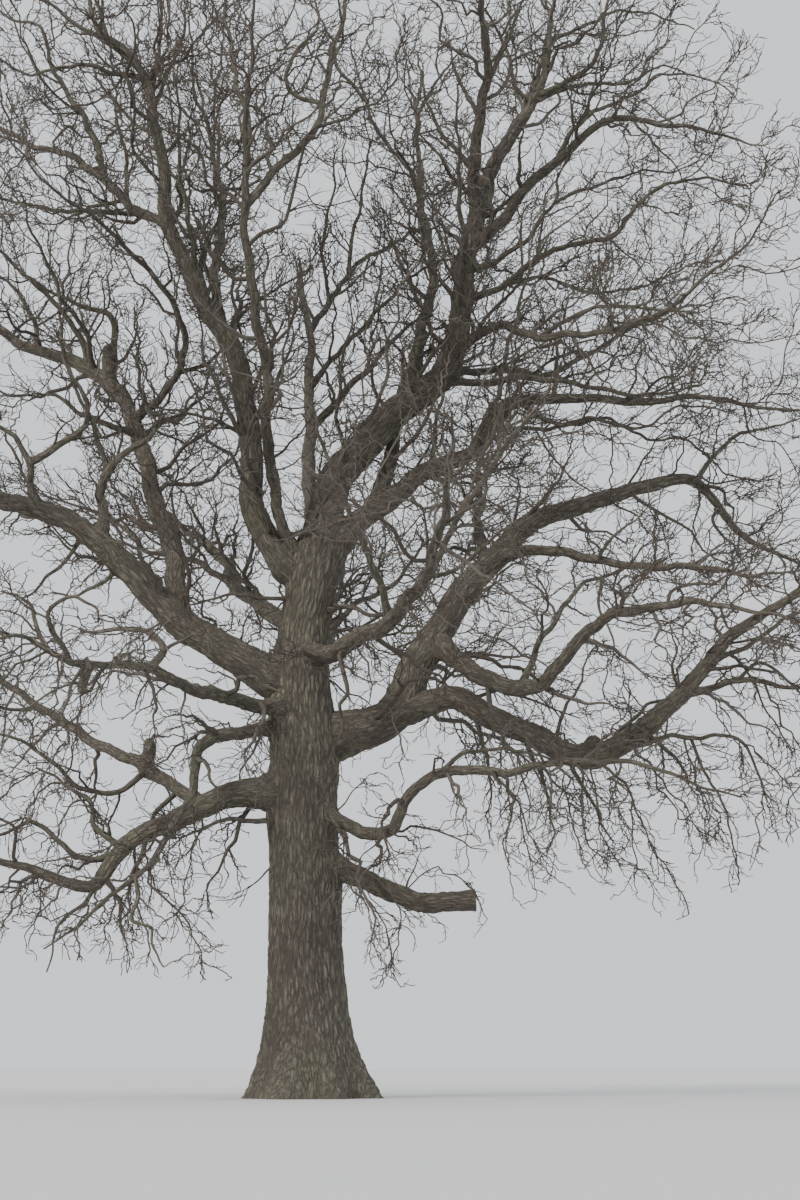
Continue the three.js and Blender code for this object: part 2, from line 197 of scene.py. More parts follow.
LIMBS: tuple[Limb, ...] = (
    Limb("stub", "trunk", 0.42, 3.3, (0.19, 0.175), (350, 355), (-30, -25, -15, 0), slot=Slot.SAWN),
    Limb("bough_low_left", "trunk", 0.52, 7.7, (0.29, 0.12), (190, 195, 195, 205, 195, 195, 195),
         (-5, -20, -30, -45, 15, 15, 10), 0.55, Sector.LOW_LEFT),
    Limb("bough_low_left_back", "bough_low_left", 0.24, 9.9, (0.13, 0.085), (145, 150),
         (30, 25, 30, 30, 25, 25), 0.45, Sector.LOW_LEFT),
    Limb("bough_slender_right", "trunk", 0.53, 9.2, (0.14, 0.075),
         (325, 330, 315, 330, 330, 330, 330, 335, 335), (-40, -20, 45, 15, -5, 5, -5, -20, -20),
         0.54, Sector.LOW_RIGHT),
    Limb("bough_mid_left", "trunk", 0.66, 9.0, (0.175, 0.085), (225, 240, 240, 240, 245, 245),
         (0, 0, 5, -10, 5, -15), 0.5, Sector.LOW_LEFT),
    Limb("bough_drooping", "trunk", 0.63, 7.4, (0.15, 0.065), (200, 215, 260, 240, 230, 225, 230),
         (-5, -25, -60, -50, -45, -35, -35), 0.5, Sector.LOW_LEFT),
    Limb("bough_great_right", "trunk", 0.6, 13.2, (0.4, 0.19), (10, 15, 15, 10, 10, 10, 10, 10),
         (20, 60, 55, 45, 20, 15, -45, -20), 0.52, Sector.RIGHT),
    Limb("bough_great_low_right", "bough_great_right", 0.12, 10.3, (0.24, 0.2), (350,),
         (15, -25, -25, 20, 45, 45, 30, 25), 0.5, Sector.LOW_RIGHT),
    Limb("bough_right_front", "bough_great_right", 0.26, 9.2, (0.195, 0.11),
         (310, 315, 305, 310, 310, 310), (-35, -15, 30, 5, -10, -20), 0.5, Sector.RIGHT),
    Limb("bough_right_mid", "bough_great_right", 0.42, 6.9, (0.125, 0.085), (325, 320),
         (-5, -20, -10, -15, -5), 0.4, Sector.RIGHT),
    Limb("bough_right_back", "bough_great_right", 0.4, 8.4, (0.125, 0.08), (95, 85, 90, 80, 65),
         (40, 35, 35, 30, 25), 0.45, Sector.RIGHT),
    Limb("bough_front", "trunk", 0.75, 9.6, (0.2, 0.11), (300, 300, 290, 280, 275, 270),
         (0, 5, 10, 15, 20, 15), 0.5, Sector.MIDDLE),
    Limb("bough_great_left", "trunk", 0.7, 10.8, (0.36, 0.18), (190,), (25, 35, 45, 25, 5, 15, 10),
         0.6, Sector.LEFT),
    Limb("bough_left_upright", "bough_great_left", 0.24, 13.2, (0.22, 0.125),
         (110, 130, 130, 150, 160, 155, 155, 160), (65, 60, 65, 50, 25, 35, 40, 35), 0.58,
         Sector.LEFT),
    Limb("bough_left_front", "bough_left_upright", 0.38, 8.0, (0.095, 0.065),
         (315, 285, 240, 235, 235, 240), (20, 40, 30, 20, 10, 20), 0.4, Sector.LEFT),
    Limb("leader_left", "trunk", 0.88, 13.7, (0.26, 0.13),
         (190, 220, 225, 195, 195, 215, 205, 190, 210), (50, 80, 80, 60, 65, 80, 75, 50, 80), 0.6,
         Sector.LEFT_TOP),
    Limb("leader_left_inner", "leader_left", 0.35, 11.1, (0.125, 0.09),
         (120, 100, 85, 110, 110, 115, 125), (55, 60, 60, 60, 60, 60, 60), 0.4, Sector.LEFT_TOP),
    Limb("leader_left_outer", "leader_left", 0.56, 8.8, (0.105, 0.08), (145, 150),
         (35, 45, 30, 30, 25, 20), 0.35, Sector.LEFT_TOP),
    Limb("leader_mid", "trunk", 0.9, 11.5, (0.13, 0.095), (220, 255, 265, 250, 265, 275, 280, 285),
         (55, 65, 65, 60, 65, 65, 60, 60), 0.52, Sector.MIDDLE),
    Limb("snag", "trunk", 0.97, 5.9, (0.165, 0.045), (140, 95, 110, 155), (80, 85, 85, 80),
         slot=Slot.DEAD),
    Limb("bough_off_snag", "snag", 0.74, 8.7, (0.08, 0.06), (70, 65, 55, 55, 70),
         (45, 45, 35, 40, 45), 0.35, Sector.MIDDLE),
    Limb("leader_right", "trunk", 0.95, 14.1, (0.4, 0.17), (10, 5, 5, 15, 10, 5, 5, 10, 10),
         (75, 50, 45, 80, 80, 70, 60, 80, 80), 0.6, Sector.RIGHT_TOP),
    Limb("leader_right_front", "leader_right", 0.56, 6.0, (0.15, 0.105), (265, 280, 270, 260, 260),
         (50, 35, 35, 30, 30), 0.35, Sector.RIGHT_TOP),
    Limb("leader_right_back", "leader_right", 0.24, 11.6, (0.14, 0.09),
         (70, 70, 75, 110, 95, 95, 100, 110), (60, 60, 65, 65, 65, 65, 65, 65), 0.48,
         Sector.RIGHT_TOP),
    Limb("bough_high_back", "leader_right", 0.32, 9.8, (0.085, 0.06), (40,),
         (15, 10, 30, 35, 30, 25, 20), 0.35, Sector.UPPER_RIGHT),
    Limb("bough_high_front", "leader_right", 0.36, 8.4, (0.095, 0.065),
         (315, 315, 315, 315, 305, 305, 295), (5, -25, -10, -5, 10, 15, 25), 0.38,
         Sector.UPPER_RIGHT),
    Limb("bough_top_right", "leader_right", 0.51, 6.8, (0.13, 0.08), (335, 340),
         (35, 45, 35, 20, -20, -20, -25), 0.45, Sector.UPPER_RIGHT),
    Limb("bough_upper_right", "trunk", 0.93, 11.7, (0.23, 0.095), (10, 10, 10, 10, 5, 5, 5, 5, 5),
         (45, 40, 30, 50, 5, 0, 5, -10, 5), 0.55, Sector.UPPER_RIGHT),
    Limb("bough_back", "trunk", 0.71, 11.2, (0.2, 0.115), (90, 80, 90, 85, 85, 75),
         (25, 25, 30, 25, 30, 20), 0.5, Sector.BACK),
    Limb("bough_back_left", "trunk", 0.79, 10.6, (0.2, 0.115), (120, 115, 110, 120, 120, 110),
         (30, 25, 35, 30, 30, 35), 0.5, Sector.BACK),
)

SIDES: tuple[Limb, ...] = (
    Limb("mid_fork", "leader_mid", 0.61, 4.9, (0.09, 0.03), (340, 340, 325, 310, 310, 300),
         (45, 40, 65, 70, 70, 75)),
    Limb("mid_twin", "leader_mid", 0.67, 5.1, (0.07, 0.025), (90, 130, 125, 115, 115),
         (75, 70, 70, 75, 75)),
    Limb("snag_high", "snag", 0.54, 4.4, (0.065, 0.02), (25, 20, 20, 20, 15), (55, 50, 50, 50, 25)),
    Limb("snag_low", "snag", 0.39, 3.3, (0.09, 0.02), (335,), (40, 40, 45, 20)),
    Limb("snag_riser", "bough_off_snag", 0.32, 2.8, (0.05, 0.018), (295, 305, 310, 305),
         (75, 70, 70, 70)),
    Limb("snag_riser_low", "bough_off_snag", 0.17, 3.0, (0.045, 0.018), (245, 280, 295, 285),
         (70, 70, 65, 65)),
    Limb("back_fork", "leader_right_back", 0.53, 3.7, (0.06, 0.018), (210, 195, 200, 210, 215),
         (70, 50, 55, 70, 75)),
    Limb("front_fork", "leader_right_front", 0.15, 2.2, (0.06, 0.018), (205, 205, 210, 245),
         (45, 50, 55, 70)),
    Limb("high_low", "leader_right", 0.31, 5.1, (0.085, 0.02), (345,), (-15, 5, -15, -15, -10, 5)),
    Limb("high_front_fork", "bough_high_front", 0.27, 3.1, (0.05, 0.016), (335,),
         (25, 0, -10, -20)),
    Limb("right_sweep", "leader_right", 0.43, 6.3, (0.075, 0.02), (350,),
         (15, 40, 20, 10, 45, 35, 5, -20)),
    Limb("right_sweep_low", "right_sweep", 0.15, 5.2, (0.045, 0.016), (15,),
         (15, -15, 10, 25, 25, 15)),
    Limb("right_elbow", "leader_right", 0.48, 3.3, (0.065, 0.018),
         (345, 340, 340, 335, 335, 275, 330), (0, 30, 35, 45, 50, 75, 55)),
    Limb("top_fork", "bough_top_right", 0.36, 4.9, (0.055, 0.016), (25, 20, 15, 20, 15, 15),
         (60, 45, 25, 45, 5, -25)),
    Limb("top_riser", "leader_right", 0.77, 3.2, (0.07, 0.02), (345, 340, 315, 305, 305),
         (20, 30, 65, 70, 70)),
    Limb("top_outer", "leader_right", 0.86, 3.5, (0.05, 0.016), (15,), (30, 30, 5, -15)),
    Limb("upper_low", "bough_upper_right", 0.45, 4.3, (0.05, 0.016), (340,),
         (-35, -5, -15, 20, -10)),
    Limb("upper_under", "bough_upper_right", 0.38, 6.0, (0.055, 0.018), (20,),
         (5, 15, 10, -15, 0, -30, -20)),
    Limb("upper_stem", "bough_upper_right", 0.14, 4.3, (0.19, 0.05), (55, 55, 40, 60),
         (70, 70, 65, 70)),
    Limb("upper_shoot", "bough_upper_right", 0.25, 2.4, (0.06, 0.02), (290,), (65, 60, 60)),
    Limb("upper_hanger", "bough_upper_right", 0.35, 1.4, (0.05, 0.02), (260, 230), (-70, -60)),
    Limb("great_shoot", "bough_great_right", 0.76, 2.8, (0.06, 0.018), (10,), (55, 45, 10, 25)),
    Limb("trunk_slip", "trunk", 0.83, 2.2, (0.07, 0.02), (335,), (10, -15, 0)),
    Limb("low_riser", "bough_great_low_right", 0.66, 3.1, (0.06, 0.02), (20,),
         (25, 25, 40, 25, 15)),
    Limb("low_outer", "bough_great_low_right", 0.59, 2.9, (0.08, 0.02), (350,),
         (5, 15, -10, -10, -25)),
    Limb("low_outer_fork", "low_outer", 0.34, 2.4, (0.04, 0.016), (330, 330, 315, 300),
         (30, -40, -55, -65)),
    Limb("low_over", "bough_great_low_right", 0.43, 2.6, (0.05, 0.018), (35, 25, 20, 20),
         (50, 35, 15, 20)),
    Limb("low_under", "bough_great_low_right", 0.41, 3.9, (0.06, 0.018),
         (340, 340, 340, 335, 320, 310), (5, 15, -5, -10, -60, -65)),
    Limb("low_hanger", "bough_great_low_right", 0.34, 2.8, (0.045, 0.014), (335, 330, 315, 310),
         (-20, -40, -60, -60)),
    Limb("outer_hanger", "low_under", 0.44, 2.4, (0.035, 0.014), (40, 30, 45, 50),
         (-60, -55, -65, -65)),
    Limb("front_riser", "bough_right_front", 0.28, 3.9, (0.08, 0.025), (40, 35, 35, 20, 20),
         (60, 55, 55, 25, 25)),
    Limb("slender_fork", "bough_slender_right", 0.39, 2.6, (0.05, 0.018), (350,),
         (40, 5, -15, -35)),
    Limb("slender_hanger", "bough_slender_right", 0.5, 1.6, (0.03, 0.012), (325, 320, 310),
         (-45, -55, -60)),
    Limb("left_cross", "bough_great_left", 0.54, 2.4, (0.09, 0.03), (220, 275, 210, 205, 205),
         (55, 70, 50, 35, 30)),
    Limb("left_cross_fork", "left_cross", 0.39, 2.9, (0.08, 0.02),
         (345, 345, 345, 260, 205, 205, 215), (25, 30, 35, 75, 60, 65, 70)),
    Limb("left_riser", "bough_great_left", 0.43, 2.8, (0.12, 0.03), (300, 260, 320, 335, 335, 330),
         (75, 70, 55, 35, 35, 45)),
    Limb("left_riser_fork", "left_riser", 0.46, 2.4, (0.06, 0.018), (230, 220, 220, 240),
         (65, 60, 60, 70)),
    Limb("upright_side", "bough_left_upright", 0.35, 2.3, (0.08, 0.02), (215, 200, 200, 200),
         (5, 20, 25, 5)),
    Limb("upright_riser", "bough_left_upright", 0.46, 2.7, (0.1, 0.03), (310, 250, 200, 200),
         (75, 70, 15, 25)),
    Limb("upright_outer", "bough_left_upright", 0.51, 3.7, (0.085, 0.02),
         (220, 205, 200, 200, 200, 200), (70, 50, 45, 40, 40, 30)),
    Limb("upright_far", "bough_left_upright", 0.61, 3.0, (0.06, 0.018), (140, 155, 165, 165),
         (75, 60, 40, 25)),
    Limb("front_link", "bough_left_front", 0.2, 1.8, (0.05, 0.018), (10, 25, 35), (20, 55, 65)),
    Limb("leader_low", "leader_left", 0.24, 2.0, (0.05, 0.018), (205,), (15, 10, 5)),
    Limb("leader_side", "leader_left", 0.23, 2.5, (0.06, 0.018), (215, 225, 225, 245),
         (45, 60, 60, 65)),
    Limb("outer_low", "leader_left_outer", 0.08, 3.5, (0.06, 0.018), (195,), (-5, -5, 5, 0, 0)),
    Limb("outer_high", "leader_left_outer", 0.26, 5.6, (0.075, 0.02),
         (145, 160, 165, 160, 155, 170, 170), (75, 65, 55, 65, 70, 25, 40)),
    Limb("leader_fork", "leader_left", 0.75, 2.6, (0.05, 0.018), (315, 270, 260), (70, 75, 75)),
    Limb("leader_fork_two", "leader_left", 0.73, 3.7, (0.05, 0.018), (35, 55, 70), (70, 75, 75)),
    Limb("mid_riser", "bough_mid_left", 0.46, 2.3, (0.08, 0.025), (40, 150, 160, 160, 160),
         (55, 45, 10, -5, 20)),
    Limb("mid_curl", "bough_mid_left", 0.69, 2.1, (0.055, 0.018),
         (210, 205, 240, 340, 345, 345, 315), (60, 55, 70, 30, 0, -30, -70)),
    Limb("mid_curl_left", "bough_mid_left", 0.76, 1.5, (0.05, 0.018), (150, 145, 145, 155, 160),
         (55, 60, 60, 45, 20)),
    Limb("left_under", "bough_great_left", 0.46, 1.8, (0.05, 0.018), (165, 165, 160, 155, 160),
         (-55, -50, -35, -50, -25)),
    Limb("left_under_front", "bough_great_left", 0.38, 1.6, (0.05, 0.018), (205, 205, 215, 215),
         (-55, -40, -30, 5)),
    Limb("drooping_fork", "bough_drooping", 0.7, 1.9, (0.05, 0.016), (310, 235, 340, 295, 335),
         (-70, -65, -25, -70, -45)),
    Limb("back_low_side", "bough_low_left_back", 0.16, 3.8, (0.07, 0.02),
         (210, 200, 205, 205, 200, 200), (-40, -5, 30, 40, 20, 5)),
    Limb("low_left_over", "bough_low_left", 0.46, 2.9, (0.07, 0.02), (195, 205, 200, 200, 200),
         (-15, 30, 35, -25, 5)),
    Limb("low_left_riser", "bough_low_left", 0.45, 2.5, (0.065, 0.02), (160, 140, 160, 160),
         (35, 60, 30, 35)),
    Limb("low_left_hanger", "bough_low_left", 0.54, 1.9, (0.045, 0.014), (225, 205, 225, 250),
         (-60, -40, -60, -70)),
    Limb("trunk_left_slip", "trunk", 0.46, 2.5, (0.07, 0.02), (210,), (0, 0, -30)),
    Limb("trunk_left_high", "trunk", 0.86, 2.5, (0.05, 0.018), (205, 215, 210, 215),
         (0, -5, -10, -20)),
    Limb("leader_outer_high", "leader_left", 0.73, 3.4, (0.1, 0.025),
         (230, 200, 195, 190, 195, 195, 190), (75, 60, 40, 20, 30, 35, 25)),
    Limb("outer_high_riser", "leader_outer_high", 0.49, 1.6, (0.05, 0.018), (145, 140, 120),
         (70, 70, 75)),
    Limb("outer_high_low", "leader_outer_high", 0.18, 2.9, (0.06, 0.018), (200,),
         (0, 5, -20, -15, 20)),
    Limb("leader_outer_low", "leader_left", 0.69, 2.9, (0.045, 0.016), (160, 155, 155, 150, 150),
         (35, 50, 50, 60, 65)),
    Limb("outer_riser", "leader_left_outer", 0.16, 3.2, (0.05, 0.018), (95, 130, 140, 105, 145),
         (80, 75, 70, 75, 70)),
    Limb("inner_riser_left", "leader_left_inner", 0.62, 3.3, (0.05, 0.018),
         (230, 215, 250, 245, 285), (70, 65, 75, 75, 75)),
    Limb("inner_riser_right", "leader_left_inner", 0.54, 4.2, (0.055, 0.018),
         (100, 115, 100, 60, 80), (80, 75, 80, 75, 80)),
    Limb("mid_fork_side", "mid_fork", 0.47, 3.2, (0.055, 0.018), (160, 145, 55, 25, 40, 140),
         (25, 60, 70, 50, 65, 65)),
    Limb("back_fork_side", "back_fork", 0.69, 2.4, (0.05, 0.018), (205, 200, 235, 210, 210),
         (50, 45, 70, 60, 60)),
    Limb("back_top_fork", "leader_right_back", 0.81, 1.7, (0.055, 0.018), (55, 120), (70, 75)),
    Limb("back_top_side", "leader_right_back", 0.78, 2.1, (0.045, 0.016), (325, 335, 340),
         (55, 50, 40)),
    Limb("right_twin", "leader_right", 0.69, 3.8, (0.08, 0.03), (30, 35, 40, 35, 125),
         (60, 70, 70, 70, 75)),
    Limb("top_under", "leader_right", 0.76, 3.6, (0.055, 0.018), (15,), (30, 20, 10, 20, 35, -10)),
    Limb("elbow_side", "right_elbow", 0.68, 3.4, (0.04, 0.014), (15,), (30, 25, 20, 10, 30)),
    Limb("front_side_riser", "leader_right_front", 0.43, 2.0, (0.06, 0.02), (320, 325, 315, 310),
         (60, 55, 60, 60)),
    Limb("gap_riser", "bough_great_low_right", 0.33, 2.2, (0.045, 0.014), (35, 25, 40),
         (75, 55, 65)),
    Limb("gap_hanger", "front_riser", 0.77, 1.9, (0.035, 0.012), (245, 320, 230), (-75, -65, -70)),
    Limb("front_high_left", "leader_left", 0.42, 4.8, (0.08, 0.02), (255, 265, 275),
         (45, 35, 45, 40, 45)),
    Limb("front_high_right", "leader_right", 0.4, 4.8, (0.085, 0.02), (275, 262, 270),
         (35, 30, 45, 40, 45)),
    Limb("front_upright", "bough_left_upright", 0.5, 4.4, (0.07, 0.018), (262, 250, 258),
         (35, 15, 35, 30)),
    Limb("front_upper", "bough_upper_right", 0.33, 4.6, (0.07, 0.018), (290, 278, 288),
         (30, 25, 40, 30)),
    Limb("front_mid_left", "bough_front", 0.34, 4.6, (0.08, 0.02), (250, 240, 248),
         (45, 35, 50, 40)),
    Limb("front_mid_right", "bough_front", 0.4, 4.6, (0.075, 0.02), (322, 308, 318),
         (45, 50, 35, 45)),
    Limb("back_high_left", "leader_left", 0.38, 5.0, (0.085, 0.02), (82, 98, 90),
         (45, 30, 40, 35, 45)),
    Limb("back_high_right", "leader_right", 0.46, 4.8, (0.085, 0.02), (98, 82, 88),
         (40, 25, 35, 40)),
    Limb("back_upright", "bough_left_upright", 0.34, 4.8, (0.08, 0.02), (72, 85, 76),
         (35, 20, 40, 35)),
    Limb("back_upper", "bough_upper_right", 0.38, 4.8, (0.075, 0.02), (82, 70, 78),
         (35, 20, 35, 30)),
    Limb("back_mid_right", "bough_back", 0.34, 4.8, (0.085, 0.02), (48, 36, 45), (45, 30, 50, 40)),
    Limb("back_mid_left", "bough_back_left", 0.36, 4.8, (0.085, 0.02), (152, 165, 155),
         (30, 20, 40, 30)),
    Limb("back_low", "bough_back", 0.24, 3.2, (0.08, 0.02), (118, 130, 120), (10, -10, 15, 5)),
    Limb("back_low_right", "bough_great_right", 0.2, 3.2, (0.08, 0.02), (62, 75, 66), (20, 0, 15)),
    Limb("slip_stub", "stub", 0.62, 0.75, (0.022, 0.01), (300, 340, 20), (70, 60, 75)),
    Limb("slip_stub_under", "stub", 0.3, 1.0, (0.022, 0.01), (280, 330, 340), (-60, -40, -70)),
    Limb("slip_low_left", "trunk", 0.385, 1.25, (0.03, 0.01), (200, 170, 200), (15, -25, -50)),
    Limb("slip_low_right", "trunk", 0.37, 2.3, (0.035, 0.01), (330, 340, 335), (10, 0, -40, -45)),
    Limb("slip_mid_right", "trunk", 0.45, 1.5, (0.03, 0.01), (310, 350, 10), (10, 40, 50)),
    Limb("peg_low", "bough_low_left_back", 0.16, 0.62, (0.15, 0.12), (80,), (85, 75), twiggy=False),
    Limb("peg_mid", "bough_mid_left", 0.64, 0.5, (0.11, 0.08), (240,), (-70, -80), twiggy=False),
    Limb("peg_upright", "bough_left_upright", 0.46, 0.85, (0.17, 0.12), (270,), (75, 80),
         twiggy=False),
    Limb("burr_low_right", "bough_great_low_right", 0.4, 0.34, (0.2, 0.16), (350,), (80,),
         twiggy=False),
    Limb("burr_upper_right", "bough_upper_right", 0.42, 0.26, (0.15, 0.12), (270,), (-30,),
         twiggy=False),
)

EVERY_LIMB = LIMBS + SIDES


@dataclass(frozen=True)
class Rule:
    """How one order of twigs grows on what bears it.

    reach is the span of the parent that bears them, most their number, share the length against
    the parent's, open the angle off the parent, thick the widest root, tip the radius at the end,
    crook how much each run kinks, runs how many runs there are, splits how often each is halved
    and sway how far those halves stand aside. every is the distance between twigs, shortest and
    longest bound their lengths, outward is how much each run turns away from the tree's middle,
    pull how strongly it is lifted or droops, and sides how many ways round the parent are tried
    for the lightest. exact marks the orders that the solids have too, whose number is always most,
    and follows those that keep their parent's colour.
    """

    order: int
    reach: tuple[float, float]
    most: int
    share: float
    open: float
    thick: float
    tip: float
    crook: float
    runs: int
    splits: int
    sway: float
    every: float = 1.0
    shortest: float = 0.0
    longest: float = 99.0
    outward: float = 0.0
    pull: float = 1.0
    sides: int = 1
    exact: bool = False
    follows: bool = False


FIRST = Rule(order=0, reach=(0.06, 0.94), most=9, share=0.56, open=58, thick=0.045, tip=0.012,
             crook=0.3, runs=2, splits=2, sway=0.2, exact=True)
SECOND = Rule(order=0, reach=(0.35, 0.8), most=2, share=0.55, open=52, thick=0.03, tip=0.011,
              crook=0.3, runs=1, splits=3, sway=0.2, exact=True)
FORKS = Rule(order=1, reach=(0.15, 0.95), most=8, share=0.55, open=54, thick=0.055, tip=0.014,
             crook=0.36, runs=4, splits=1, sway=0.2, every=0.75, shortest=1.5, longest=3.4,
             outward=0.08, sides=3)
SPRAYS = Rule(order=2, reach=(0.16, 1.0), most=11, share=0.42, open=54, thick=0.03, tip=0.011,
              crook=0.46, runs=4, splits=1, sway=0.2, every=0.54, shortest=0.7, longest=1.8,
              outward=0.06, pull=0.6, sides=3)
ON_BOUGHS = replace(SPRAYS, order=6, reach=(0.4, 0.97), most=6, share=0.4, open=58, every=0.85,
                    shortest=0.8, longest=1.7, pull=0.7)
TIPS = Rule(order=3, reach=(0.9, 1.0), most=3, share=0.3, open=30, thick=0.024, tip=0.01,
            crook=0.45, runs=4, splits=1, sway=0.2, every=0.05, shortest=0.5, longest=1.1,
            outward=0.06, pull=0.5, sides=2, follows=True)
SHOOTS = Rule(order=4, reach=(0.25, 1.0), most=9, share=0.42, open=52, thick=0.016, tip=0.0085,
              crook=0.6, runs=2, splits=1, sway=0.24, every=0.2, shortest=0.28, longest=0.8,
              outward=0.05, pull=0.3, sides=2, follows=True)
SPURS = Rule(order=5, reach=(0.3, 1.0), most=6, share=0.42, open=46, thick=0.0085, tip=0.006,
             crook=0.3, runs=1, splits=0, sway=0.0, every=0.105, shortest=0.1, longest=0.27,
             outward=0.04, pull=0.2, follows=True)


# Small reckonings
def chance(*keys: int | np.ndarray) -> np.ndarray:
    """A share of 1 that depends only on the whole numbers it is given.

    Args:
        keys: Whole numbers or arrays of them, broadcast together.

    Returns:
        The shares, from 0 up to 1.
    """
    mixed = np.full(1, HASH_SEED, np.uint32)
    for key in keys:
        mixed = mixed ^ np.asarray(key).astype(np.uint32)
        for factor, shift in HASH_ROUNDS:
            mixed = mixed * np.uint32(factor)
            mixed = mixed ^ (mixed >> np.uint32(shift))
    return mixed / 2.0 ** 32


def hash_of(name: str) -> int:
    """A whole number that depends only on a name."""
    return sum((i + 1) * ord(c) for i, c in enumerate(name))


def smooth(low: float, high: float, value: np.ndarray | float) -> np.ndarray:
    """A share that eases from 0 at low to 1 at high."""
    t = np.clip((np.asarray(value, float) - low) / (high - low), 0, 1)
    return t * t * (3 - 2 * t)


def unit(v: np.ndarray) -> np.ndarray:
    """Vectors with their lengths taken to 1."""
    return v / np.maximum(np.linalg.norm(v, axis=-1, keepdims=True), TINY)


def spread(values: Sequence[float], i: int, n: int) -> float:
    """Value number i of n, from a list spread evenly over n places."""
    place = i * (len(values) - 1) / (n - 1) if n > 1 else 0
    return float(np.interp(place, range(len(values)), values))


def bearing(swing: float, climb: float) -> np.ndarray:
    """The unit vector at a bearing and an angle above level, both in degrees."""
    a, b = math.radians(swing), math.radians(climb)
    return np.array([math.cos(b) * math.cos(a), math.cos(b) * math.sin(a), math.sin(b)])


def square_to(tangents: np.ndarray) -> tuple[np.ndarray, np.ndarray]:
    """Two directions square to each tangent, the first of them level.

    Args:
        tangents: Unit vectors, one a row.

    Returns:
        The level directions and the steep ones.
    """
    nearly_plumb = 0.05
    level = np.stack([-tangents[:, 1], tangents[:, 0], np.zeros(len(tangents))], axis=1)
    level[np.linalg.norm(level, axis=1) < nearly_plumb] = (1, 0, 0)
    level = unit(level)
    return level, unit(np.cross(tangents, level))


class Curve:
    """A smooth curve through points, of even pace from point to point."""

    def __init__(self, points: np.ndarray) -> None:
        """Keeps the points with one mirrored beyond each end.

        Args:
            points: The points, one a row.
        """
        self.count = len(points)
        self.held = np.vstack([2 * points[0] - points[1], points, 2 * points[-1] - points[-2]])

    def point(self, u: np.ndarray | float) -> np.ndarray:
        """The curve's points at shares u of it, one a row."""
        place = np.clip(np.atleast_1d(np.asarray(u, float)), 0, 1) * (self.count - 1)
        low = np.minimum(place.astype(int), self.count - 2)
        t = (place - low)[:, None]
        a, b, c, d = (self.held[low + k] for k in range(4))
        squared, cubed = 2 * a - 5 * b + 4 * c - d, 3 * b - a - 3 * c + d
        return 0.5 * (2 * b + (c - a) * t + squared * t ** 2 + cubed * t ** 3)


def trunk_axis(z: np.ndarray | float) -> np.ndarray:
    """How far the trunk's axis stands from the plumb line at heights z."""
    lean = FOOT_AXIS_X + (LEAN_AXIS_X - FOOT_AXIS_X) * smooth(0, LEAN_HEIGHT, z)
    return lean + (FORK_AXIS_X - lean) * smooth(LEAN_HEIGHT, TRUNK_HEIGHT, z)


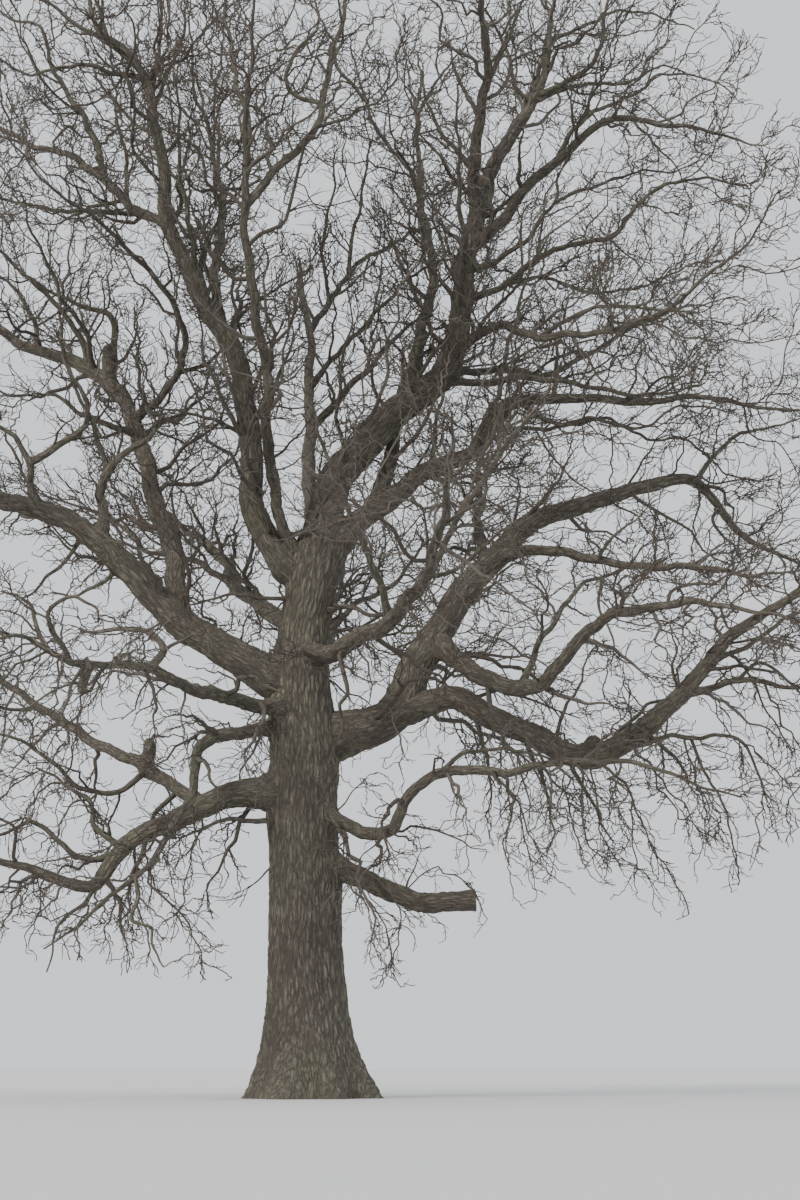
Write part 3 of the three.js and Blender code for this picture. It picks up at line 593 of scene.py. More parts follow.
class Skeleton:
    """Every limb's curve and radius, worked out from the limbs' named sizes."""

    ROOT_SPAN = 0.5
    ROOT_STEPS = 60
    PARENT_STEPS = 240
    THIN_LIMB, THICK_LIMB = 0.45, 0.9
    FLARE_REACH = 0.9
    LEAST_ROOT = 0.001

    def __init__(self) -> None:
        """Walks the trunk and then each limb out from its parent."""
        heights = np.linspace(0, TRUNK_HEIGHT, TRUNK_CURVE_RUNS + 1)
        trunk = np.stack([trunk_axis(heights), np.zeros_like(heights), heights], axis=1)
        self.curves = {"trunk": Curve(trunk)}
        self.limbs = {limb.name: limb for limb in EVERY_LIMB}
        self.sectors: dict[str, Sector] = {}
        for limb in EVERY_LIMB:
            self.curves[limb.name] = self.walk(limb)
            self.sectors[limb.name] = limb.sector or self.sectors.get(limb.on, Sector.MIDDLE)
        self.roots = {limb.name: self.leaves_parent(limb) for limb in EVERY_LIMB}

    def walk(self, limb: Limb) -> Curve:
        """The curve that a limb follows, run by run, from its place on its parent."""
        n = len(limb.climb)
        points = [self.curves[limb.on].point(limb.at)[0]]
        for i in range(n):
            way = bearing(spread(limb.swing, i, n), limb.climb[i])
            points.append(points[-1] + way * limb.length / n)
        return Curve(np.array(points))

    def radius(self, name: str, u: np.ndarray | float) -> np.ndarray:
        """A limb's radius at shares u of it, without what its root spreads to."""
        u = np.asarray(u, float)
        if name == "trunk":
            return np.interp(u * TRUNK_HEIGHT, *zip(*TRUNK_PROFILE))
        limb = self.limbs[name]
        root, end = limb.thick
        bare = root + (end - root) * u / limb.bare
        if limb.bare == 1:
            return bare
        far = end + (STEM_TIP - end) * (u - limb.bare) / (1 - limb.bare)
        return np.where(u > limb.bare, far, bare)

    def wandering(self, limb: Limb, u: np.ndarray) -> np.ndarray:
        """A limb's axis at shares u of it, with small bends that leave its root where it is."""
        seed = hash_of(limb.name)
        along = u * limb.length
        calm = [min(wave / (WANDER_CALM * limb.thick[0]), 1.0) for wave, _ in WANDER]
        aside = np.zeros((len(u), 3))
        for axis in range(3):
            for number, (wave, size) in enumerate(WANDER):
                phase = 2 * math.pi * chance(seed, axis, number)[0]
                bend = np.sin(2 * math.pi * along / wave + phase)
                aside[:, axis] += size * calm[number] * bend
        return self.curves[limb.name].point(u) + aside * smooth(0, WANDER_START, along)[:, None]

    def leaves_parent(self, limb: Limb) -> float:
        """The share of a limb at which its axis comes out of its parent's skin."""
        shares = np.linspace(0, self.ROOT_SPAN, self.ROOT_STEPS)
        places = np.linspace(0, 1, self.PARENT_STEPS)
        axis = self.curves[limb.on].point(places)
        thick = self.radius(limb.on, places)
        for u, p in zip(shares, self.curves[limb.name].point(shares)):
            away = np.linalg.norm(axis - p, axis=1)
            nearest = int(np.argmin(away))
            if away[nearest] > thick[nearest]:
                return float(u)
        return 0.0

    def flare(self, name: str, u: np.ndarray, swell: float) -> np.ndarray:
        """How much wider than its plain taper a limb is near its root, less so on thick limbs."""
        limb = self.limbs[name]
        root = self.roots[name]
        share = limb.thick[0] / float(self.radius(limb.on, limb.at))
        beyond = np.maximum(u - root, 0) * limb.length
        slender = 1 - smooth(self.THIN_LIMB, self.THICK_LIMB, share)
        raised = swell * slender * smooth(0, max(root, self.LEAST_ROOT), u)
        return 1 + raised * np.exp(-beyond / (self.FLARE_REACH * limb.thick[0]))


class Room:
    """The space that twigs may take: the crown, their own mass's share and air round limbs."""

    CHUNK = 6000

    def __init__(self, skeleton: Skeleton) -> None:
        """Samples every stem and bough.

        Args:
            skeleton: The limbs' curves.
        """
        self.low = np.array(CAD_BOX[0]) + BOX_MARGIN
        self.high = np.array(CAD_BOX[1]) - BOX_MARGIN
        self.stems: dict[str, np.ndarray] = {}
        starts, ends, reach = [], [], []
        for limb in LIMBS:
            u = np.linspace(0, limb.bare, STEM_SAMPLES + 1)
            points = skeleton.curves[limb.name].point(u)
            collar = COLLAR * np.exp(-u * limb.length / (COLLAR_REACH * limb.thick[0]))
            thick = skeleton.radius(limb.name, u) * (1 + collar)
            starts.append(points[:-1])
            ends.append(points[1:])
            reach.append(np.maximum(thick[:-1], thick[1:]) + ROOM)
            if limb.bare < 1:
                far = np.linspace(limb.bare, 1, STEM_SAMPLES + 1)
                self.stems[limb.name] = skeleton.curves[limb.name].point(far)
        self.starts, self.ends = np.vstack(starts), np.vstack(ends)
        self.reach = np.concatenate(reach)

    def inside(self, points: np.ndarray, slack: float) -> np.ndarray:
        """Which points lie inside the crown's outline times a slack, and inside the tree's box."""
        across = np.hypot(points[:, 0], points[:, 1]) / CROWN_RADIUS
        height = points[:, 2] - CROWN_MIDDLE
        rise = np.abs(height) / np.where(height > 0, CROWN_RISE, CROWN_DROP)
        dome = across ** CROWN_SQUARENESS + rise ** CROWN_SQUARENESS < slack
        return dome & np.all((points > self.low) & (points < self.high), axis=1)

    def clear(self, points: np.ndarray) -> np.ndarray:
        """Which points have clear air round them, away from every bough."""
        along = self.ends - self.starts
        square = np.sum(along ** 2, axis=1)
        found = [np.zeros(0, bool)]
        for at in range(0, len(points), self.CHUNK):
            rel = points[at:at + self.CHUNK, None, :] - self.starts[None]
            share = np.clip(np.einsum("psk,sk->ps", rel, along) / square, 0, 1)
            gap = np.linalg.norm(rel - share[..., None] * along[None], axis=2)
            found.append(np.all(gap > self.reach[None], axis=1))
        return np.concatenate(found)

    def off_trunk(self, points: np.ndarray) -> np.ndarray:
        """Which points stand well off the trunk, up to where its boughs crowd together."""
        thick = np.interp(points[:, 2], *zip(*TRUNK_PROFILE))
        away = np.hypot(points[:, 0] - trunk_axis(points[:, 2]), points[:, 1])
        return (away > thick + TRUNK_AIR) | (points[:, 2] > TRUNK_AIR_TOP)

    def own(self, points: np.ndarray, owners: np.ndarray) -> np.ndarray:
        """Which points are nearer to their own stem than to any other, by the air between."""
        gaps = np.stack([np.min(np.linalg.norm(points[:, None] - stem[None], axis=2), axis=1)
                         for stem in self.stems.values()])
        mine = gaps[owners, np.arange(len(points))]
        gaps[owners, np.arange(len(points))] = np.inf
        return np.min(gaps, axis=0) >= mine + BETWEEN_MASSES


@dataclass
class Paths:
    """A batch of twigs as paths of the same number of points.

    keys are the whole numbers that each twig's chances depend on, sector the number of its part of
    the crown, tone that of its colour, and owner that of the stem whose room it keeps to.
    """

    points: np.ndarray
    radii: np.ndarray
    keys: tuple[np.ndarray, ...]
    sector: np.ndarray
    tone: np.ndarray
    owner: np.ndarray

    def __len__(self) -> int:
        """How many paths there are."""
        return len(self.points)

    def lengths(self) -> np.ndarray:
        """Each path's length."""
        return np.linalg.norm(np.diff(self.points, axis=1), axis=2).sum(axis=1)

    def kept(self, mask: np.ndarray) -> Paths:
        """The paths that a mask keeps."""
        return Paths(self.points[mask], self.radii[mask], tuple(k[mask] for k in self.keys),
                     self.sector[mask], self.tone[mask], self.owner[mask])

    def sealed(self) -> Paths:
        """The same paths with their keys drawn together into one."""
        return replace(self, keys=((chance(*self.keys) * KEY_SPAN).astype(np.int64),))

    def halved(self, sway: float, turn: int) -> Paths:
        """The same paths with each run halved at a point that stands aside.

        Args:
            sway: How far aside, as a share of the run.
            turn: A number that keeps one halving's chances from another's.

        Returns:
            The crooked paths.
        """
        a, b = self.points[:, :-1], self.points[:, 1:]
        n, m = a.shape[:2]
        run = np.arange(m)[None, :]
        keys = [k[:, None] for k in self.keys]
        aside = np.stack([chance(*keys, run, HALVING_DRAW + turn, axis) - 0.5
                          for axis in range(3)], axis=2)
        points = np.empty((n, 2 * m + 1, 3))
        points[:, ::2] = self.points
        points[:, 1::2] = (a + b) / 2 + 2 * sway * aside * np.linalg.norm(b - a, axis=2)[..., None]
        radii = np.empty((n, 2 * m + 1))
        radii[:, ::2] = self.radii
        radii[:, 1::2] = (self.radii[:, :-1] + self.radii[:, 1:]) / 2
        return replace(self, points=points, radii=radii)

    @staticmethod
    def joined(batches: Iterable[Paths]) -> Paths:
        """Several batches of the same number of points as one, with only the keys that all have."""
        kept = list(batches)
        return Paths(
            np.concatenate([b.points for b in kept]),
            np.concatenate([b.radii for b in kept]),
            tuple(np.concatenate(q) for q in zip(*(b.keys for b in kept))),
            np.concatenate([b.sector for b in kept]),
            np.concatenate([b.tone for b in kept]),
            np.concatenate([b.owner for b in kept]),
        )


class Shade:
    """How crowded each part of the crown is, in cells."""

    CELL = 0.55
    EDGE = 2
    SPILL = 0.5

    def __init__(self, room: Room) -> None:
        """Lays out empty cells over the crown's box.

        Args:
            room: The space that twigs may take.
        """
        self.low = room.low
        cells = ((room.high - room.low) / self.CELL).astype(int)
        self.counts = np.zeros(cells + 1 + 2 * self.EDGE)

    def cells(self, points: np.ndarray) -> tuple[np.ndarray, ...]:
        """The cell of each point."""
        place = ((points.reshape(-1, 3) - self.low) / self.CELL).astype(int) + self.EDGE
        last = [count - 1 for count in self.counts.shape]
        return tuple(np.clip(place[:, axis], 0, last[axis]) for axis in range(3))

    def cast(self, paths: Paths) -> None:
        """Adds a batch of paths to the cells round them."""
        own = np.zeros_like(self.counts)
        m = paths.points.shape[1]
        np.add.at(own, self.cells(paths.points), np.repeat(paths.lengths() / m, m))
        for axis in range(3):
            own = own + self.SPILL * (np.roll(own, 1, axis) + np.roll(own, -1, axis))
        self.counts += own

    def over(self, paths: Paths) -> np.ndarray:
        """How crowded it is along the outer half of each path."""
        outer = paths.points[:, paths.points.shape[1] // 2:]
        return self.counts[self.cells(outer)].reshape(len(paths), -1).mean(axis=1)


@dataclass(frozen=True)
class Buds:
    """Where one order of twigs leaves its parents.

    who is the number of each twig's parent, u the share of the parent at which it leaves, total
    the parent's length, and keys the whole numbers that the twig's chances depend on.
    """

    parents: Paths
    who: np.ndarray
    u: np.ndarray
    total: np.ndarray
    keys: tuple[np.ndarray, ...]


class Twigs:
    """Grows orders of twigs on paths by the rule, and keeps those that have room."""

    STANDS_OUT = 0.5
    JITTER = 0.6
    SHORTER_COSTS = 1e6

    def __init__(self, room: Room) -> None:
        """Keeps the room that the twigs grow in.

        Args:
            room: The space that twigs may take.
        """
        self.room = room
        self.shade = Shade(room)

    def grown(self, parents: Paths, rule: Rule) -> Paths:
        """One order of twigs on the paths of the order before.

        Each twig is tried on several sides at its full length and, only if none has room, shorter.

        Args:
            parents: The paths that bear the twigs.
            rule: How this order grows.

        Returns:
            The twigs that fit.
        """
        buds = self.buds(parents, rule)
        tries = [self.walk(buds, rule, shrink, side / rule.sides)
                 for shrink in (1.0, SHORTEST_TRY) for side in range(rule.sides)]
        costs = []
        for number, paths in enumerate(tries):
            cost = self.shade.over(paths) + self.SHORTER_COSTS * (number // rule.sides)
            costs.append(np.where(self.fits(paths, rule), cost, np.inf))
        best = np.argmin(costs, axis=0)
        chosen = np.stack([paths.points for paths in tries])[best, np.arange(len(buds.who))]
        made = replace(tries[0], points=chosen).kept(np.isfinite(np.min(costs, axis=0)))
        for turn in range(rule.splits):
            made = made.halved(rule.sway, turn + HALVING_STEP * rule.order)
        self.shade.cast(made)
        return made

    def buds(self, parents: Paths, rule: Rule) -> Buds:
        """The places along each parent that bear a twig, spread evenly and then jittered.

        Args:
            parents: The paths that bear the twigs.
            rule: How this order grows.

        Returns:
            The places, parent by parent.
        """
        lengths = parents.lengths()
        start, end = rule.reach
        if rule.exact:
            counts = np.full(len(parents), rule.most)
        else:
            parents = parents.sealed()
            counts = np.clip((lengths * (end - start) / rule.every).astype(int), 1, rule.most)
        who = np.repeat(np.arange(len(parents)), counts)
        k = np.concatenate([np.arange(c) for c in counts])
        share = k / np.maximum(counts[who] - 1, 1)
        keys = tuple(q[who] for q in parents.keys) + (k + ORDER_STEP * rule.order,)
        if not rule.exact:
            jitter = self.JITTER * (chance(*keys) - 0.5) / np.maximum(counts[who], 2)
            share = np.clip(share + jitter, 0, 1)
        return Buds(parents, who, start + (end - start) * share, lengths[who], keys)

    def fits(self, paths: Paths, rule: Rule) -> np.ndarray:
        """Which paths keep to their room, at each point after the first and midway between.

        Args:
            paths: The paths to test.
            rule: How their order grows.

        Returns:
            True for each path that fits.
        """
        between = (paths.points[:, 1:-1] + paths.points[:, 2:]) / 2
        tested = np.concatenate([paths.points[:, 1:], between], axis=1)
        flat = tested.reshape(-1, 3)
        good = self.room.inside(flat, 1.0 if rule.exact else CROWN_SLACK)
        good[good] = self.room.clear(flat[good])
        if rule.exact:
            owners = np.repeat(paths.owner, tested.shape[1])
            good[good] = self.room.own(flat[good], owners[good])
        else:
            good[good] = self.room.off_trunk(flat[good])
        return good.reshape(len(paths), -1).all(axis=1)

    def walk(self, buds: Buds, rule: Rule, shrink: float, side: float) -> Paths:
        """The paths of twigs from where they leave their parents.

        Args:
            buds: Where each twig leaves its parent.
            rule: How this order grows.
            shrink: What the lengths are multiplied by.
            side: How far round the parent each is turned from the rule's own place, as a share of
                a full turn.

        Returns:
            The twigs' paths, of the rule's runs.
        """
        parents, who, keys = buds.parents, buds.who, buds.keys
        place = buds.u * (parents.points.shape[1] - 1)
        low = np.minimum(place.astype(int), parents.points.shape[1] - 2)
        part = (place - low)[:, None]
        a, b = parents.points[who, low], parents.points[who, low + 1]
        start = a + (b - a) * part
        along = unit(b - a)
        part = part[:, 0]
        bearer = parents.radii[who, low] * (1 - part) + parents.radii[who, low + 1] * part
        level, steep = square_to(along)
        turn = GOLDEN_TURN * (keys[-1] % ORDER_STEP) + TURN_SPREAD * chance(*keys, TURN_DRAW)
        turn = np.radians(turn + 360 * side)[:, None]
        opening = rule.open + OPEN_SPREAD * (chance(*keys, OPENING_DRAW) - 0.5)
        opening = np.radians(opening)[:, None]
        aside = level * np.cos(turn) + steep * np.sin(turn)
        way = along * np.cos(opening) + aside * np.sin(opening)
        luck = LENGTH_LEAST + LENGTH_SPREAD * chance(*keys, LENGTH_DRAW)
        length = buds.total * rule.share * (1 - SHORTER_TO_TIP * buds.u) * luck
        length = np.clip(length, rule.shortest * luck, rule.longest * luck) * shrink
        high = smooth(DROOP_HEIGHT, LIFT_HEIGHT, start[:, 2])
        lift = DROOP_LOW + (LIFT_HIGH - DROOP_LOW) * high
        root = np.maximum(np.minimum(rule.thick, ROOT_SHARE * bearer), rule.tip)
        if not rule.exact:
            start = start + way * (self.STANDS_OUT * bearer)[:, None]
        outward = unit(start - HEART) * rule.outward
        points, radii = [start], [root]
        for i in range(rule.runs):
            kink = np.stack([chance(*keys, i, draw) - 0.5 for draw in KINK_DRAWS], axis=1)
            way = way + kink * 2 * rule.crook + outward
            way[:, 2] += lift * rule.pull
            way = unit(way)
            points.append(points[-1] + way * (length / rule.runs)[:, None])
            radii.append(root + (rule.tip - root) * (i + 1) / rule.runs)
        tone = (chance(*keys, TONE_DRAW) * TONES).astype(int)
        if rule.follows:
            tone = parents.tone[who]
        return Paths(np.stack(points, axis=1), np.stack(radii, axis=1), keys,
                     parents.sector[who], tone, parents.owner[who])


# Node trees
def arithmetic(operation: str, turned: bool = False) -> Callable[[Value, Value | float], Value]:
    """A method of Value that adds one Math node.

    Args:
        operation: The node's operation.
        turned: True for the method that is called when the value stands on the right.

    Returns:
        The method.
    """
    def added(self: Value, other: Value | float) -> Value:
        """The node's result on both terms in their order."""
        return self.pen.math(operation, *((other, self) if turned else (self, other)))

    return added


class Value:
    """A socket of a node tree, on which plain arithmetic adds Math nodes."""

    def __init__(self, pen: Pen, socket: bpy.types.NodeSocket) -> None:
        """Keeps the socket with the tree it is in.

        Args:
            pen: The writer of the socket's tree.
            socket: An output socket.
        """
        self.pen = pen
        self.socket = socket

    __add__, __radd__ = arithmetic("ADD"), arithmetic("ADD", turned=True)
    __sub__, __rsub__ = arithmetic("SUBTRACT"), arithmetic("SUBTRACT", turned=True)
    __mul__, __rmul__ = arithmetic("MULTIPLY"), arithmetic("MULTIPLY", turned=True)


class Pen:
    """Writes nodes into one shader or geometry tree."""

    def __init__(self, tree: bpy.types.NodeTree) -> None:
        """Keeps the tree.

        Args:
            tree: The node tree that nodes are added to.
        """
        self.tree = tree

    def feed(self, socket: bpy.types.NodeSocket, value: object) -> None:
        """Links a value to an input socket, or sets the socket if the value is plain."""
        if isinstance(value, Value):
            self.tree.links.new(value.socket, socket)
        else:
            socket.default_value = value

    def node(self, kind: str, settings: dict[str, object] | None = None,
             sockets: dict[str | int, object] | None = None, out: str | int = 0) -> Value:
        """Adds one node.

        Args:
            kind: The node's type.
            settings: Its properties, set before its sockets.
            sockets: Values or links by input name or number.
            out: The output that is returned, by name or number among those in use.

        Returns:
            That output.
        """
        made = self.tree.nodes.new(kind)
        for name, value in (settings or {}).items():
            setattr(made, name, value)
        for name, value in (sockets or {}).items():
            self.feed(self.found(made.inputs, name), value)
        return Value(self, self.found(made.outputs, out))

    @staticmethod
    def found(sockets: Iterable[bpy.types.NodeSocket], key: str | int) -> bpy.types.NodeSocket:
        """The socket of a name, or of a number, among those in use."""
        live = [socket for socket in sockets if socket.enabled]
        return live[key] if isinstance(key, int) else next(s for s in live if s.name == key)

    def math(self, operation: str, *terms: Value | float) -> Value:
        """A Math node on one or two numbers."""
        return self.node("ShaderNodeMath", {"operation": operation}, dict(enumerate(terms)))

    def vector(self, operation: str, *terms: object, out: str | int = 0) -> Value:
        """A Vector Math node on one or two vectors."""
        settings = {"operation": operation}
        return self.node("ShaderNodeVectorMath", settings, dict(enumerate(terms)), out)

    def scaled(self, a: Value, factor: Value | float) -> Value:
        """A vector times a number."""
        return self.node("ShaderNodeVectorMath", {"operation": "SCALE"}, {0: a, "Scale": factor})

    def stretched(self, place: Value, along: float) -> Value:
        """A place with its third part, which runs along the grain, times a number."""
        return self.vector("MULTIPLY", place, (1.0, 1.0, along))

    def eased(self, value: Value, low: float, high: float) -> Value:
        """A share that eases from 0 at low to 1 at high."""
        return self.node("ShaderNodeMapRange", {"interpolation_type": "SMOOTHSTEP"},
                         {"Value": value, "From Min": low, "From Max": high})

    def mix(self, factor: Value | float, a: Value | Colour, b: Value | Colour) -> Value:
        """A colour between two colours."""
        return self.node("ShaderNodeMix", {"data_type": "RGBA"}, {"Factor": factor, "A": a, "B": b})

    def noise(self, place: Value, scale: Value | float, detail: float = 3.0,
              rough: float = 0.55, out: str = "Fac") -> Value:
        """Soft noise: a number from 0 to 1, or a colour."""
        return self.node("ShaderNodeTexNoise", {"noise_dimensions": "3D"}, {
            "Vector": place, "Scale": scale, "Detail": detail, "Roughness": rough}, out)

    def warped(self, grain: Value, *warps: tuple[float, float]) -> Value:
        """The grain moved about by noise on it, for each warp's scale and size in turn."""
        bent = grain
        for scale, size in warps:
            shift = self.noise(grain, scale, detail=2.0, rough=0.5, out="Color")
            shift = self.vector("SUBTRACT", shift, (0.5, 0.5, 0.5))
            bent = self.vector("ADD", bent, self.scaled(shift, size))
        return bent

    def cracks(self, place: Value) -> Value:
        """The distance to the nearest edge of cells about 1 across."""
        return self.node("ShaderNodeTexVoronoi",
                         {"voronoi_dimensions": "3D", "feature": "DISTANCE_TO_EDGE"},
                         {"Vector": place, "Scale": 1.0, "Randomness": 1.0}, "Distance")


class GrowingTree:
    """A Geometry Nodes tree with named inputs, laid over a mesh and then made plain."""

    def __init__(self, name: str, inputs: dict[str, str]) -> None:
        """Makes the tree with its group inputs.

        Args:
            name: The tree's name.
            inputs: Each input's name and socket type, after the geometry.
        """
        self.tree = bpy.data.node_groups.new(name, "GeometryNodeTree")
        face = self.tree.interface
        face.new_socket("Geometry", in_out="INPUT", socket_type="NodeSocketGeometry")
        self.ids = {key: face.new_socket(key, in_out="INPUT", socket_type=kind).identifier
                    for key, kind in inputs.items()}
        face.new_socket("Geometry", in_out="OUTPUT", socket_type="NodeSocketGeometry")
        self.pen = Pen(self.tree)
        self.source = self.tree.nodes.new("NodeGroupInput")
        self.sink = self.tree.nodes.new("NodeGroupOutput")

    def given(self, name: str) -> Value:
        """The value of one of the tree's inputs."""
        return Value(self.pen, Pen.found(self.source.outputs, name))

    def attribute(self, name: str, kind: str) -> Value:
        """The value of a named attribute."""
        return self.pen.node("GeometryNodeInputNamedAttribute", {"data_type": kind},
                             {"Name": name}, "Attribute")

    def ends(self, geometry: Value) -> None:
        """Shades the last geometry smooth, realises it, and gives it its materials by tone."""
        done = self.pen.node("GeometryNodeSetShadeSmooth", None, {"Geometry": geometry})
        done = self.pen.node("GeometryNodeRealizeInstances", None, {"Geometry": done})
        materials = [key for key in self.ids if key.startswith("Material")]
        for number, key in enumerate(materials):
            sockets: dict[str | int, object] = {"Geometry": done, "Material": self.given(key)}
            if number:
                sockets["Selection"] = self.pen.node(
                    "FunctionNodeCompare", {"data_type": "INT", "operation": "EQUAL"},
                    {0: self.attribute("tone", "INT"), 1: number})
            done = self.pen.node("GeometryNodeSetMaterial", None, sockets)
        self.tree.links.new(done.socket, self.sink.inputs[0])

    def laid_over(self, name: str, mesh: bpy.types.Mesh,
                  values: dict[str, object]) -> bpy.types.Object:
        """A plain mesh object: the tree's result on a mesh.

        Args:
            name: The new object's name.
            mesh: What the tree starts from.
            values: The inputs' values by name.

        Returns:
            The object, with no modifier left on it.
        """
        carrier = bpy.data.objects.new(name + "_base", mesh)
        bpy.context.scene.collection.objects.link(carrier)
        modifier = carrier.modifiers.new("growth", "NODES")
        modifier.node_group = self.tree
        for key, value in values.items():
            modifier[self.ids[key]] = value
        graph = bpy.context.evaluated_depsgraph_get()
        plain = bpy.data.meshes.new_from_object(carrier.evaluated_get(graph), depsgraph=graph)
        plain.name = name
        carrier.modifiers.clear()
        bpy.data.objects.remove(carrier)
        bpy.data.meshes.remove(mesh)
        made = bpy.data.objects.new(name, plain)
        bpy.context.scene.collection.objects.link(made)
        return made


class TubeTree(GrowingTree):
    """Turns paths with a radius at each point into closed tubes."""

    def __init__(self) -> None:
        """Builds the tree: paths to curves, a round profile along them, ends closed."""
        super().__init__("tubes_along_paths", {
            "Sides": "NodeSocketInt", "Cuts": "NodeSocketInt", "Material": "NodeSocketMaterial",
            "Material two": "NodeSocketMaterial", "Material three": "NodeSocketMaterial",
        })
        pen = self.pen
        paths = pen.node("GeometryNodeMeshToCurve", None, {"Mesh": self.given("Geometry")})
        paths = pen.node("GeometryNodeCurveSplineType", {"spline_type": "CATMULL_ROM"},
                         {"Curve": paths})
        paths = pen.node("GeometryNodeSetSplineResolution", None,
                         {"Geometry": paths, "Resolution": self.given("Cuts")})
        ring = pen.node("GeometryNodeCurvePrimitiveCircle", {"mode": "RADIUS"},
                        {"Resolution": self.given("Sides"), "Radius": 1.0}, "Curve")
        self.ends(pen.node("GeometryNodeCurveToMesh", None, {
            "Curve": paths, "Profile Curve": ring, "Scale": self.attribute("thick", "FLOAT"),
            "Fill Caps": True}))


class BarkTree(GrowingTree):
    """Raises bark on a skin: long plates between furrows, and broad lumps under them."""

    WARPS = ((2.2, 0.18), (9.0, 0.05))
    FURROW_WIDTH = 0.34
    LUMP_STRETCH = 0.45
    ROUGH_STRETCH = 0.6
    ROUGH_SCALE = 17.0
    ROUGH_SHARE = 0.8

    def __init__(self) -> None:
        """Builds the tree: plates and lumps from the skin's own grain, moved outwards."""
        super().__init__("bark_relief", {
            "Plate width": "NodeSocketFloat", "Plate length": "NodeSocketFloat",
            "Lump size": "NodeSocketFloat", "Material": "NodeSocketMaterial",
            "Material two": "NodeSocketMaterial",
        })
        pen = self.pen
        grain = self.attribute("grain", "FLOAT_VECTOR")
        width = self.given("Plate width")
        cell = pen.node("ShaderNodeCombineXYZ", None,
                        {0: width, 1: width, 2: self.given("Plate length")})
        bent = pen.warped(grain, *self.WARPS)
        plate = pen.eased(pen.cracks(pen.vector("DIVIDE", bent, cell)), 0.0, self.FURROW_WIDTH)
        coarse = pen.noise(pen.stretched(grain, self.LUMP_STRETCH),
                           pen.math("DIVIDE", 1.0, self.given("Lump size")), 2.0, 0.5)
        rough = pen.noise(pen.stretched(grain, self.ROUGH_STRETCH), self.ROUGH_SCALE)
        rise = (plate - 1.0) + self.ROUGH_SHARE * (rough - 0.5)
        rise = rise * self.attribute("furrow", "FLOAT")
        rise = rise + (coarse - 0.5) * self.attribute("lump", "FLOAT")
        moved = pen.node("GeometryNodeSetPosition", None, {
            "Geometry": self.given("Geometry"),
            "Offset": pen.scaled(self.attribute("out", "FLOAT_VECTOR"), rise)})
        self.ends(pen.node("GeometryNodeStoreNamedAttribute",
                           {"data_type": "FLOAT", "domain": "POINT"},
                           {"Geometry": moved, "Name": "plate", "Value": plate}))


# Finishes
Colour = tuple[float, float, float, float]


def rgb(red: float, green: float, blue: float) -> Colour:
    """An opaque colour."""
    return (red, green, blue, 1.0)


class Surface(Pen):
    """The pen of a new material's tree, with the one shader in it."""

    def __init__(self, name: str) -> None:
        """Makes the material.

        Args:
            name: The material's name.
        """
        self.material = bpy.data.materials.new(name)
        self.material.use_nodes = True
        super().__init__(self.material.node_tree)
        self.shader = self.tree.nodes["Principled BSDF"]

    def read(self, name: str, out: str) -> Value:
        """The value of one of the skin's named attributes."""
        return self.node("ShaderNodeAttribute", {"attribute_name": name}, None, out)

    def place(self) -> Value:
        """The place on the object, in metres."""
        return self.node("ShaderNodeTexCoord", out="Object")

    def finished(self, colour: Value | Colour, rough: Value | float, relief: Value | None = None,
                 depth: float = 0.0, strength: float = 0.9) -> bpy.types.Material:
        """Gives the shader its colour, roughness and bump.

        Args:
            colour: The base colour.
            rough: The roughness.
            relief: The height that the bump follows, if there is any.
            depth: The bump's distance.
            strength: The bump's strength.

        Returns:
            The material.
        """
        self.feed(self.shader.inputs["Base Color"], colour)
        self.feed(self.shader.inputs["Roughness"], rough)
        if relief is not None:
            bump = {"Strength": strength, "Distance": depth, "Height": relief}
            normal = self.node("ShaderNodeBump", None, bump, "Normal")
            self.feed(self.shader.inputs["Normal"], normal)
        return self.material


def rising(line: tuple[float, float], value: Value) -> Value:
    """A straight line's value: its start and its rise, taken along a value."""
    start, rise = line
    return start + rise * value


